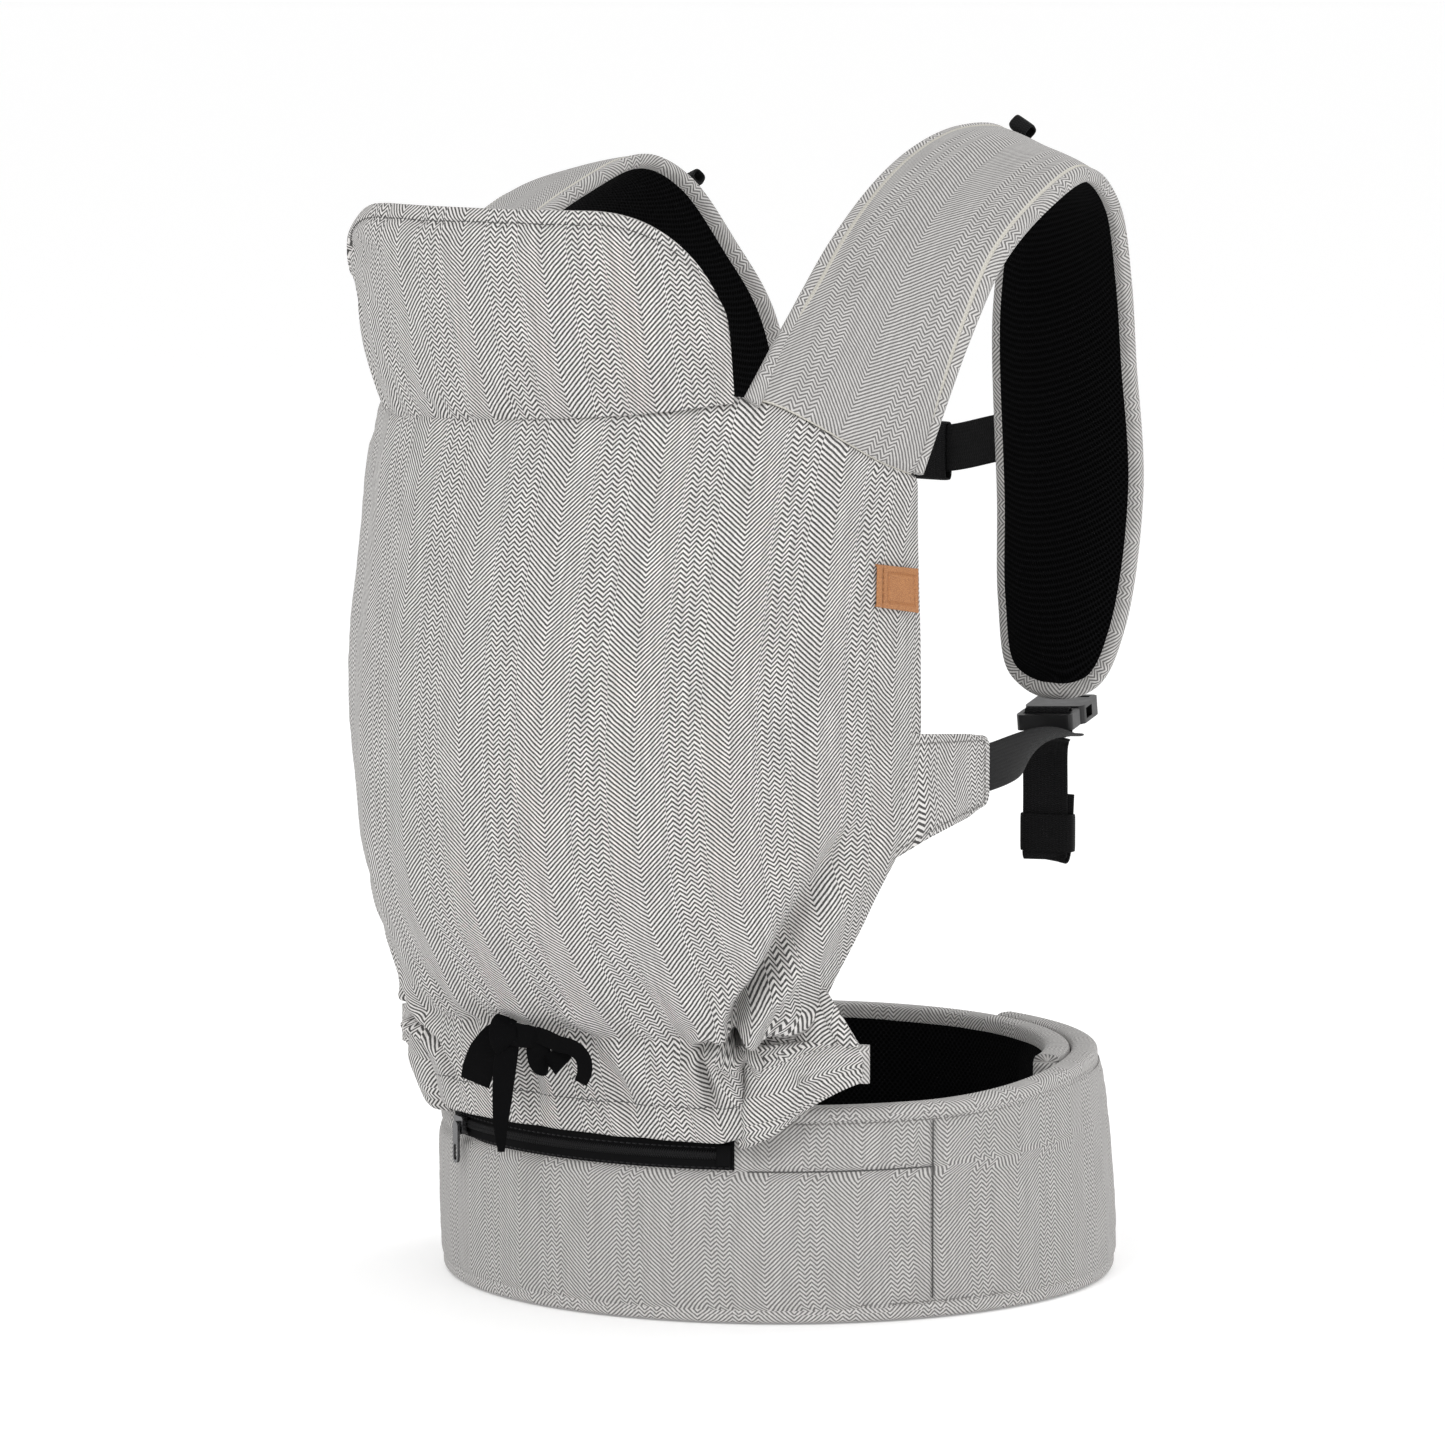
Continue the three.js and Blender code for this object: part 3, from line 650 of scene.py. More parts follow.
HERRINGBONE = herringbone()
SOFT_HERRINGBONE = herringbone("HerringboneSoft", contrast=0.68, pitch=2.3, shade=0.93)
BINDING = herringbone("HerringboneBinding", turned=True, contrast=0.7, pitch=2.3)
SPACER = spacer_mesh()
WEBBING = webbing_material()
ELASTIC = webbing_material("ElasticKeeper", 0.006)
PLASTIC = plastic_material()
LEATHER = leather_material()
ZIP_TAPE = plain_cloth("ZipTape", (0.002, 0.002, 0.0022), (0.009, 0.009, 0.0095), 0.8, 1.1, 0.0)
COIL = plain_cloth("ZipCoil", (0.006, 0.006, 0.0064), (0.035, 0.035, 0.036), 0.4, 0.8, 0.0)
RIBBON = plain_cloth("Ribbon", (0.001, 0.001, 0.0011), (0.006, 0.006, 0.0066), 0.85, 0.9, 0.0)
FOAM = plain_cloth("Foam", (0.5, 0.48, 0.43), (0.72, 0.70, 0.64), 0.95, 2.2, 0.0)
THREAD = plain_cloth("Thread", (0.17, 0.165, 0.16), (0.27, 0.265, 0.26), 0.8, 0.4, 0.0)
# Dark thread for stitches, also used for the belt's painted seam-shadow cords.
DARK_THREAD_AND_SEAM_SHADOW = plain_cloth("DarkThreadAndSeamShadow", (0.07, 0.07, 0.07), (0.15, 0.147, 0.144), 0.8, 0.4, 0.0)
BLACK_THREAD = plain_cloth("BlackThread", (0.010, 0.010, 0.011), (0.03, 0.03, 0.032), 0.6, 0.4, 0.1)
TAN_THREAD = plain_cloth("TanThread", (0.22, 0.09, 0.035), (0.34, 0.15, 0.06), 0.7, 0.4, 0.1)
METAL = metal_material()


def fit(piece, body, slot, *nodes):
    """Rides a finished piece on its body, or only leaves it in place when the body is a joint's blend, and
    hides the CAD nodes it stands for. The slot is not used.
    """
    if isinstance(body, str):
        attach(piece, body)
    else:
        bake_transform(piece)
    if nodes:
        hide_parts(*nodes)
    return piece


# Cloth that crosses a joint: (first body, second body, start, end).
FOOT = ("belt", "panel", (0, -181, 104), (0, -181, 200))
FOLD = ("panel", "headrest", (0, -237, 469), (0, -242, 499))
SEAM_NORMAL = np.array([0, 0.42, 0.907])


def strap_blend(side):
    seam = np.array([0, -136.75, 456.5])
    return ("panel", side_name("strap", side), seam + 2 * SEAM_NORMAL, seam + 85 * SEAM_NORMAL)


# ------------------------------------------------------------------ waist belt
def polar(angle, radius, z):
    a = np.radians(angle)
    return np.stack(np.broadcast_arrays(radius * np.sin(a), -radius * np.cos(a), z), -1)


def belt_top(angle):
    """The belt's rim rides a little higher at the sides and back."""
    return BELT_HEIGHT + 7 * smoothstep(np.abs(angle), 62, 115)


def belt_radius(angle, z):
    """Outer face of the belt: the right end lies outside and leans in at its top edge."""
    tucked = 1 - smoothstep(angle, -150, -95)
    lean = 9 * smoothstep(angle, 60, 125) * (z / BELT_HEIGHT) ** 1.5
    return mix(BELT_RADIUS - lean, BELT_TUCKED_RADIUS, tucked)


def belt_grid(depth, rows, columns, crown):
    """Angles, heights and points of one face of the belt, between its bindings."""
    angle, up = np.meshgrid(np.linspace(*BELT_ENDS, columns), np.linspace(0, 1, rows))
    z = mix(6, belt_top(angle) - 6, up)
    swell = crown * (1 - np.abs(2 * up - 1) ** 2.5)
    return angle, z, polar(angle, belt_radius(angle, z) - depth + swell, z)


def belt_binding(name, z, height):
    angle = np.linspace(*BELT_ENDS, 300)
    z = z(angle)
    path = polar(angle, belt_radius(angle, z) - BELT_THICKNESS / 2, z)
    section = ring_section(BELT_THICKNESS + 1.4, height, power=3.2, count=32)
    return sweep(name, path, polar(angle, 1.0, 0.0), UP, section, BINDING)


def belt_cloth():
    """Starting grids of the belt's cover and lining, for the cloth simulation."""
    angle, z, cover = belt_grid(0, 26, 261, 1.2)
    held = edges_held(*angle.shape)
    held |= (np.abs(z - POCKET_SEAM) < 2.1) & (np.abs(angle) < SEAM_AT)
    held |= (z > POCKET_SEAM - 3) & (np.abs(angle) < 34)
    held |= np.abs(np.abs(angle) - SEAM_AT) < 0.9
    _, _, lining = belt_grid(BELT_THICKNESS, 26, 261, -0.8)
    return {
        "belt_cover": dict(grid=cover, held=held, slack=0.009, cap=5),
        "belt_lining": dict(grid=lining[:, ::-1], held=edges_held(*angle.shape), slack=0.008, cap=4),
    }


def belt(cover, lining):
    rows, columns = 64, 900
    angle, z, _ = belt_grid(0, rows, columns, 0)
    cover = refine(cover, rows, columns)
    groove = 2.0 * (bell(angle, SEAM_AT, 0.5) + bell(angle, -SEAM_AT, 0.5))
    groove += 1.3 * bell(z, POCKET_SEAM, 1.3) * (np.abs(angle) < SEAM_AT)
    cover -= grid_normals(cover) * groove[..., None]
    fit(sheet("belt_cover_cloth", cover, 1.6, SOFT_HERRINGBONE), "belt", "woven", "belt_cover")
    lining = refine(lining, 40, 500)
    fit(sheet("belt_lining_mesh", lining, 1.4, SPACER), "belt", "mesh", "belt_lining")
    core = belt_grid(3, 6, 200, 0)[2]
    fit(sheet("belt_foam_core", core, 6.5, FOAM), "belt", "foam", "belt_foam")
    low = belt_binding("belt_hem_binding", lambda a: 0 * a + 5, 10.0)
    fit(low, "belt", "woven", "belt_bottom_binding")
    high = belt_binding("belt_rim_binding", lambda a: belt_top(a) - 4.6, 9.2)
    fit(high, "belt", "woven", "belt_top_binding")
    angle = np.linspace(BELT_ENDS[0] + 20, BELT_ENDS[1] - 1, 500)
    out = polar(angle, 1.0, 0.0)
    for name, z in (("hem", 9.2), ("rim", belt_top(angle) - 8.4)):
        path = polar(angle, belt_radius(angle, z) + 0.75, z)
        fit(stitches(f"belt_{name}_stitches", path, out, THREAD), "belt", "woven")
    # Thin dark cords in the upright seam grooves: painted seam shadow, dark lines where shade falls in the
    # grooves.
    cord = ring_section(0.7, 0.7, 2, 8)
    height = np.linspace(10.5, BELT_HEIGHT - 9.5, 200)
    for name, at in (("right", SEAM_AT), ("left", -SEAM_AT)):
        path = polar(at, BELT_RADIUS - 0.3, height)
        across, out = polar(at + 90, 1.0, 0.0), polar(at, 1.0, 0.0)
        fit(sweep(f"belt_seam_shadow_line_{name}", path, across, out, cord, DARK_THREAD_AND_SEAM_SHADOW), "belt", "woven")
    # The dark cord along the level pocket seam is painted seam shadow too.
    at = np.linspace(32.5, SEAM_AT, 160)
    path, cord = polar(at, BELT_RADIUS + 0.5, POCKET_SEAM), ring_section(0.6, 0.6, 2, 8)
    fit(sweep("belt_pocket_seam_shadow_line", path, UP, polar(at, 1.0, 0.0), cord, DARK_THREAD_AND_SEAM_SHADOW), "belt", "woven")
    section = ring_section(BELT_THICKNESS + 1.2, 9, power=3, count=28)
    for k, at in enumerate(BELT_ENDS):
        z = np.linspace(4, belt_top(at) - 4, 40)
        path = polar(at, belt_radius(at, z) - BELT_THICKNESS / 2, z)
        out, along = polar(at, 1.0, 0.0), polar(at + 90, 1.0, 0.0)
        fit(sweep(f"belt_end_binding_{k}", path, out, along, section, BINDING), "belt", "woven")


# ------------------------------------------------------------------ belt pocket zip
def zip_radius(z):
    return BELT_RADIUS + 1.3 * (1 - abs(2 * (z - 6) / (BELT_HEIGHT - 12) - 1) ** 2.5)


def pocket_zip():
    columns, rows = 180, 14
    angle, z = np.meshgrid(np.linspace(-33.5, 30.3, columns), np.linspace(ZIP_LOW, ZIP_TOP, rows))
    z = z + 2.5 * smoothstep(-angle, 20, 33) * (ZIP_TOP - z) / (ZIP_TOP - ZIP_LOW)
    lip = 0.5 * bell(z, 82.2, 0.9) - 0.35 * bell(z, 83.6, 0.5)
    face = polar(angle, np.vectorize(zip_radius)(z) + 0.9 + lip, z)
    fit(sheet("zip_tape_cloth", face, 0.9, ZIP_TAPE), "belt", "zip_tape", "zip_tape")

    height = 87.6
    lift = zip_radius(height) + 1.1
    angle = np.linspace(-30.5, 28.6, 200)
    path, section = polar(angle, lift, height), ring_section(2.6, 1.3, 2.4, 12)
    cord = sweep("zip_coil_cord", path, UP, polar(angle, 1.0, 0.0), section, COIL)
    fit(cord, "belt", "zip_tape", "zip_chain")
    pitch = 0.42
    for row, offset in ((1, 0), (-1, pitch / 2)):
        at = np.arange(-30.2 + offset, 28.4, pitch)
        centres = polar(at, lift + 0.35, height + row * 0.95)
        across = UP + 0.35 * row * polar(at + 90, 1.0, 0.0)
        name = f"zip_coil_teeth_{'upper' if row > 0 else 'lower'}"
        teeth = beads(name, centres, unit(across), polar(at, 1.0, 0.0), 2.9, 0.42, COIL)
        fit(teeth, "belt", "zip_tape")
    at = np.linspace(-32.5, 29.8, 260)
    for name, z in (("low", 81.2), ("high", 91.5)):
        path = polar(at, zip_radius(z) + 1.15, z)
        row = stitches(f"zip_tape_stitches_{name}", path, polar(at, 1.0, 0.0), BLACK_THREAD)
        fit(row, "belt", "zip_tape")
    at = 28.6
    ring = ring_about(polar(at, lift - 0.2, height), 7, 3.2, polar(at + 90, 1.0, 0.0), polar(at, 1.0, 0.0))
    fit(hoop("zip_end_tab", ring, UP, 11, 0.8, ZIP_TAPE), "belt", "zip_tape")


# ------------------------------------------------------------------ front panel
FINE_Z = np.linspace(PANEL_STATIONS[0, 0] - 4, PANEL_STATIONS[-1, 0] + 60, 500)
FINE_STATIONS = smooth_rows(sampled(FINE_Z, PANEL_STATIONS[:, 0], PANEL_STATIONS[:, 1:]), 90).T

# Folds drawn in at the panel's foot: (angle, height, depth, width) down each fold.
RIGHT_FOLDS = [
    [(56.5, 147, 16, 3.8), (56.5, 158, 16, 3.8), (59.5, 170, 16, 4), (64, 182, 15, 4.2), (67.5, 196, 13, 4.5),
     (69.5, 212, 11, 4.8), (72, 230, 9, 5), (74.5, 250, 6, 5.5), (77, 272, 0, 8)],
    [(57, 147, 11, 3.4), (66, 146.5, 9, 3.2), (80, 148.5, 6, 3.4), (91, 149, 1, 5)],
    [(57.5, 146, 12, 3.4), (60.5, 138, 10, 3), (62.5, 128, 8, 3), (64, 117, 4, 3.2), (65, 106, 0, 4)],
    [(45, 143, 3, 2.6), (46, 135.5, 8, 2.8), (49, 123, 7, 3), (50.5, 110, 2, 4)],
    [(55, 150, 10, 3.2), (51.5, 149.5, 9, 3), (46.5, 145, 7, 3), (42, 140.5, 3, 3.2), (39, 137, 0, 4)],
    [(-5, 149, 2, 5), (-6.5, 137, 5, 5.5), (-7.5, 118, 4, 7), (-9, 98, 1, 8)],
    [(11, 149, 2, 5), (19.5, 124, 4.5, 6), (23, 107, 3.5, 7), (26, 98, 1, 8)],
    [(28, 196, 0, 9), (36, 162.5, 4.5, 7), (40, 144, 5, 6), (50, 111, 1.5, 7)],
    [(70, 300, 0, 12), (74, 270, 2, 12), (77, 240, 2.4, 10), (80, 214, 0, 9)],
]
LEFT_FOLDS = [
    [(-57.5, 145, 9, 4), (-52, 136, 7, 4.4), (-44.5, 129, 5.5, 4.6), (-43.5, 116.5, 4, 5), (-44, 102, 1, 6)],
    [(-58, 147, 10, 4.5), (-59, 160, 9, 5), (-63, 176, 6.5, 6.5), (-67, 196, 3, 9), (-70, 215, 0, 10)],
    [(-58, 147, 8, 3.4), (-72, 146, 6, 3.4), (-91, 146, 1, 5)],
    [(-33, 190, 0, 8), (-30, 168, 3, 7), (-25, 150, 3.5, 6), (-24, 128, 1.5, 7)],
]


def panel_station(z):
    """Half-width, centre Y and depth of the panel's section at a height, smoothly joined."""
    return [np.interp(z, FINE_Z, column) for column in FINE_STATIONS]


def panel_point(angle, z):
    half, centre, depth = panel_station(z)
    a = np.radians(angle)
    return np.stack(np.broadcast_arrays(half * np.sin(a), centre - depth * np.cos(a), z), -1)


# The panel's top seam: (angle, height); it hangs a little lower on the left.
SEAM = np.array([
    (-95, 433), (-90, 435), (-80, 443), (-73, 451), (-64, 461), (-55, 467), (-47, 469.5), (-39, 464.5),
    (-29, 463.5), (-12, 466.5), (0, 468), (13.5, 470), (25.5, 472.3), (36.5, 475.3), (47, 479.5), (55.5, 474),
    (64, 463.5), (73, 451.5), (79.5, 443.5), (90, 435), (95, 433),
], float)
SEAM_TURNS = np.linspace(-95, 95, 381)
SEAM_LINE = smooth_rows(np.interp(SEAM_TURNS, SEAM[:, 0], SEAM[:, 1]), 24)


def seam_height(angle):
    return np.interp(angle, SEAM_TURNS, SEAM_LINE)


def foot_height(angle):
    """The panel's hem follows the zip at the front and climbs to the belt's rim at the sides."""
    right = np.interp(angle, [0, 54, 64, 76, 90], [94.5, 94.5, 98, 105, 113])
    left = np.interp(-angle, [0, 54, 64, 76, 90], [94.5, 94.5, 96, 100, 105])
    return np.where(angle > 0, right, left)


def fold_depth(angle, z):
    """How far the drawn-in folds sink, with the soft ridges beside them."""
    turns = np.linspace(-95, 95, 191)
    arc = path_lengths(panel_point(turns, np.full_like(turns, CHANNEL)))
    here = np.stack([np.interp(angle, turns, arc), z], -1)
    sunk = np.zeros(angle.shape)
    for fold in RIGHT_FOLDS + LEFT_FOLDS:
        fold = np.array(fold, float)
        line = np.stack([np.interp(fold[:, 0], turns, arc), fold[:, 1]], -1)
        nearest = np.full(angle.shape, 1e9)
        depth, width = np.zeros(angle.shape), np.ones(angle.shape)
        for k in range(len(fold) - 1):
            step = line[k + 1] - line[k]
            t = np.clip((here - line[k]) @ step / (step @ step), 0, 1)
            away = np.linalg.norm(here - line[k] - t[..., None] * step, axis=-1)
            closer = away < nearest
            nearest = np.where(closer, away, nearest)
            depth = np.where(closer, mix(fold[k, 2], fold[k + 1, 2], t), depth)
            width = np.where(closer, mix(fold[k, 3], fold[k + 1, 3], t), width)
        reach = nearest / width
        sunk = sunk + depth * (np.exp(-reach ** 2) - 0.36 * np.exp(-((reach - 2.1) / 1.1) ** 2))
    return sunk


def gathers(angle, z):
    fine = np.sin(np.radians(angle * 17) + 0.02 * z) + 0.6 * np.sin(np.radians(angle * 29) + 1.3)
    fine = fine * (1.3 * bell(z, CHANNEL + 9, 9) + 0.8 * bell(z, CHANNEL - 8, 7))
    channel = -2.2 * bell(z, CHANNEL, 3.2) + 2.6 * bell(z, CHANNEL - 14, 12) + 2.0 * bell(z, CHANNEL + 13, 10)
    return fine + channel - fold_depth(angle, z)


def panel_grid(rows, columns):
    angle, up = np.meshgrid(np.linspace(-90, 90, columns), np.linspace(0, 1, rows))
    z = mix(foot_height(angle), seam_height(angle), up)
    return angle, z, panel_point(angle, z)


def gathered_grid(rows, columns):
    """The panel's grid with its foot drawn in."""
    angle, z, base = panel_grid(rows, columns)
    shape = gathers(angle, z) * (1 - smoothstep(z, 240, 290))
    return angle, z, base, base + grid_normals(base) * shape[..., None]


def panel_cloth():
    angle, z, _, points = gathered_grid(79, 106)
    held = edges_held(*angle.shape)
    held |= (np.abs(z - CHANNEL) < 3) | (z < CHANNEL - 20)
    return {"panel": dict(grid=points, held=held, slack=0.0035, cap=4, bending=0.3)}


def panel(settled):
    rows, columns = 330, 420
    angle, z, base, exact = gathered_grid(rows, columns)
    coarse = refine(panel_cloth()["panel"]["grid"], rows, columns)
    points = exact + (refine(settled, rows, columns) - coarse)
    run = np.radians(angle) * 165
    soft = 1.2 * ripple(3, run * 0.8, z * 0.35) * smoothstep(z, 200, 260) * (1 - smoothstep(z, 440, 462))
    rolled = -2.4 * np.exp(-(seam_height(angle) - z) / 1.8)
    hem = -1.0 * np.exp(-(z - foot_height(angle)) / 2.0)
    points = points + grid_normals(base) * (soft + rolled + hem - 2.2)[..., None]
    plain = cloth_uv(base)
    drawn_in = (cloth_uv(points) - plain) * [0.7, 0]
    for _ in range(12):
        drawn_in = smooth_rows(drawn_in, 4)
        drawn_in = smooth_rows(drawn_in.swapaxes(0, 1), 4).swapaxes(0, 1)
    fit(sheet("panel_cloth", points, 3.0, HERRINGBONE, plain + drawn_in), FOOT, "woven", "front_panel")

    turns = np.linspace(-52, 60, 300)
    heights = foot_height(turns) + 19.5
    at = panel_point(turns, heights)
    out = polar(turns, 1.0, 0.0)
    path = at + out * (gathers(turns, heights) + 0.2)[:, None]
    fit(stitches("panel_hem_stitches", path, out, DARK_THREAD_AND_SEAM_SHADOW, length=2.4), FOOT, "woven")


# ------------------------------------------------------------------ panel side pieces
def side_flap(side):
    """The foot's end at each side: a padded roll below the channel, a flat facet above it."""
    drop = 0 if side > 0 else 7
    name, mirror = sided(side)
    # X, Y, lower height, upper height along the roll
    stations = np.array([
        (98, -166.3, 92, 146), (106.5, -164, 94, 146.7), (113, -158, 98, 147.2), (118.5, -151, 103.5, 147.5),
        (123, -144.5, 109.5, 148), (129, -139, 115, 148), (137, -134, 120.5, 148), (145, -129.8, 125, 147.5),
        (*FLAP_TIP, 128, 146.5),
    ], float)
    stations[:, 2:] -= np.linspace(0, drop, len(stations))[:, None]
    line = spline(stations, 70)
    columns = 30
    s = np.linspace(0, 1, columns)[None]
    t = np.linspace(0, 1, len(line))[:, None]
    lower, upper = line[:, 2:3], line[:, 3:4]
    middle = np.stack(np.broadcast_arrays(line[:, :1], line[:, 1:2], mix(lower, upper, s)), -1)
    along = unit(np.gradient(line[:, :2], axis=0))
    out = np.stack([along[:, 1], -along[:, 0], 0 * along[:, 0]], -1)[:, None]
    lean = (middle[..., 2] - 118) * 0.25 * (1 - smoothstep(t, 0, 0.35)) - 2.5 * (1 - smoothstep(t, 0, 0.1))
    dive = -7 * smoothstep(middle[..., 2], 108, 130) * (1 - smoothstep(t, 0.02, 0.24))
    middle = middle + out * (lean + dive)[..., None]
    round_off = 1 - np.abs(2 * s - 1) ** 2.6
    start = smoothstep(t, 0, mix(0.55, 0.3, smoothstep(middle[..., 2], 104, 130)))
    end = 1 - smoothstep(t, 0.62, 0.97)
    crease = 1.6 * ripple(31, t * 90, s * 40)
    crease = crease - 2.6 * bell(t * 60 + s * 26, 44, 3.2) - 1.6 * bell(t * 60 - s * 14, 24, 2.6)
    swell = (1.0 + (7.0 * end + 1.2) * round_off + crease * round_off) * start
    face = middle + out * (swell + 0.6)[..., None]
    back = middle - out * (1.4 + 1.6 * round_off * end)[..., None]
    roll = pad(name("flap_roll"), face * mirror, back * mirror, HERRINGBONE)
    fit(roll, FOOT, "woven", name("leg_pad"))
    path = np.linspace([*FLAP_TIP, line[-1, 2] - 0.6], [*FLAP_TIP, line[-1, 3] + 0.4], 24)
    bound = sweep(name("flap_end_binding"), path * mirror, np.array([*along[-1], 0]) * mirror,
                  out[-1, 0] * mirror, ring_section(6.5, 4.6, 3, 20), BINDING)
    fit(bound, FOOT, "woven")

    v = np.linspace(0, 1, 36)[:, None, None]
    u = np.linspace(0, 1, 30)[None, :, None]
    inner = mix(np.array([128.5, -132, 181.0]), np.array([118.5, -141, 144.0 - drop]), v)
    outer = mix(np.array([131.5, -135.5, 179.0]), np.array([150.5, -127.4, 146.5 - drop]), v)
    face = mix(inner, outer, u)
    belly = np.sin(np.pi * v[..., 0]) * np.sin(np.pi * u[..., 0]) * 2.2
    belly = belly - 2.4 * bell(u[..., 0] * 26 - v[..., 0] * 9, 9, 2.2) * smoothstep(v[..., 0], 0.2, 0.6)
    flat = unit(np.array([0.46, -0.88, 0.1]))
    face = face + flat * (belly + 1.0)[..., None]
    uv = to_uv(face[..., 0] * 1.14, face[..., 2])
    facet = sheet(name("flap_facet"), face * mirror, 2.6, HERRINGBONE, uv)
    fit(facet, FOOT, "woven")


def side_wing(side):
    """The cloth wing that carries the lower webbing, drawn out of the panel's side edge."""
    name, mirror = sided(side)
    rows, columns = 60, 50
    t, s = np.meshgrid(np.linspace(0, 1, rows), np.linspace(0, 1, columns), indexing="ij")
    root_z = mix(236, 304.5, s)
    root = panel_point(np.full_like(root_z, 87), root_z)
    root = root - np.array([3.4, 0, 0])
    edge = np.stack([0 * s + 166.2, -94 + 0 * s, mix(250, 303.8, s)], -1)
    end = np.stack([0 * s + 161, -33 + 0 * s, mix(260.5, 298, s)], -1)
    points = np.where(t[..., None] < 0.34, mix(root, edge, smoothstep(t, 0, 0.34)[..., None]),
                      mix(edge, end, ((t - 0.34) / 0.66)[..., None]))
    for _ in range(14):
        points[1:-1] = 0.25 * points[:-2] + 0.5 * points[1:-1] + 0.25 * points[2:]
    corner = np.clip((np.abs(2 * s - 1) - 0.62) / 0.38, 0, 1)
    points[..., 1] -= 7 * (1 - np.sqrt(1 - corner ** 2 * 0.999)) * smoothstep(t, 0.75, 1)
    sway = 1.6 * np.sin(np.pi * t) * np.sin(2 * np.pi * s + 0.6) + 0.6 * ripple(41, t * 80, s * 50)
    fill = (1 - np.abs(2 * s - 1) ** 4) * smoothstep(t, 0, 0.25) * (1 - smoothstep(t, 0.92, 1))
    outward = np.array([1.0, 0, 0])
    face = points + outward * (0.8 + 1.3 * fill + sway * fill)[..., None]
    back = points - outward * (0.6 + 1.0 * fill - sway * fill)[..., None]
    mirror = np.array([side, 1, 1])
    run = np.broadcast_to(path_lengths(points[:, columns // 2])[:, None], t.shape)
    uv = to_uv(run + 4, mix(255, 302, s))
    wing = pad(name("wing_cloth"), face * mirror, back * mirror, HERRINGBONE, uv)
    fit(wing, "panel", "woven", name("side_wing"))
    for part, path in (("low", face[2:-4, 4]), ("top", face[2:-4, -5]), ("end", face[-5, 4:-4])):
        row = stitches(name(f"wing_stitches_{part}"), (path + 0.3 * outward) * mirror, outward * side, THREAD)
        fit(row, "panel", "woven")


def leather_tag():
    """A tan tag folded over the panel's edge, debossed with a plain frame."""
    rows, columns = 90, 110
    up, across = np.meshgrid(np.linspace(0, 1, rows), np.linspace(0, 1, columns), indexing="ij")
    angle = mix(77.6, 87.6, across)
    z = mix(mix(371, 366, across), mix(392.5, 388.5, across), up)
    base = panel_point(angle, z)
    normal = np.stack([np.sin(np.radians(angle)), -np.cos(np.radians(angle)) * 0.6, 0 * z], -1)
    x_mm, z_mm = across * 30, up * 22
    edge = np.minimum(np.minimum(x_mm, 30 - x_mm), np.minimum(z_mm, 22 - z_mm))
    fold = -0.55 * bell(x_mm, 4.2, 0.55) + 0.35 * bell(x_mm, 2.2, 1.4)
    frame_x = np.minimum(np.abs(x_mm - 8), np.abs(x_mm - 26.5))
    inside_x, inside_z = (x_mm > 7.6) & (x_mm < 26.9), (z_mm > 3.2) & (z_mm < 18.8)
    frame_z = np.minimum(np.abs(z_mm - 3.6), np.abs(z_mm - 18.4))
    line = np.minimum(np.where(inside_z, frame_x, 9), np.where(inside_x, frame_z, 9))
    deboss = -0.7 * bell(line, 0, 0.6)
    lift = 0.9 + 1.8 * smoothstep(across, 0.5, 1) + fold + deboss - 0.8 * np.exp(-edge / 0.5)
    face = base + unit(normal) * lift[..., None]
    fit(sheet("tag_leather", face, 1.7, LEATHER, to_uv(x_mm, z_mm)), "panel", "leather", "leather_tag")
    column = int(columns * 4.2 / 30)
    path = face[6:-6, column] + unit(normal[6:-6, column]) * 0.15
    fit(stitches("tag_stitches", path, normal[6:-6, column], TAN_THREAD, 2.0, 0.8, 0.3), "panel", "leather")


# ------------------------------------------------------------------ drawstring
def ribbon_strip(name, points, widths, body=FOOT, node=None, directions=None):
    """Soft flat ribbon through points, with a width and an across direction at each of them;
    without directions it lies flat against the panel."""
    count = 90
    path = spline(points, count)
    at, fine = np.linspace(0, 1, len(points)), np.linspace(0, 1, count)
    width = smooth_rows(np.interp(fine, at, widths), 6)
    if directions is None:
        across = np.cross(tangents(path), [0.45, -0.89, 0.08])
    else:
        across = sampled(fine, at, np.array(directions, float))
    across, up = flat_frame(path, unit(smooth_rows(unit(across), 10)))
    section = ring_section(1.0, 1.0, 4, 24)
    flat = section[None] * np.stack([width, np.full(count, 0.9)], 1)[:, None]
    piece = tube(name, sweep_grid(path, across, up, flat), path, section[:, 0] * 12, RIBBON)
    fit(piece, body, "ribbon", *([node] if node else []))


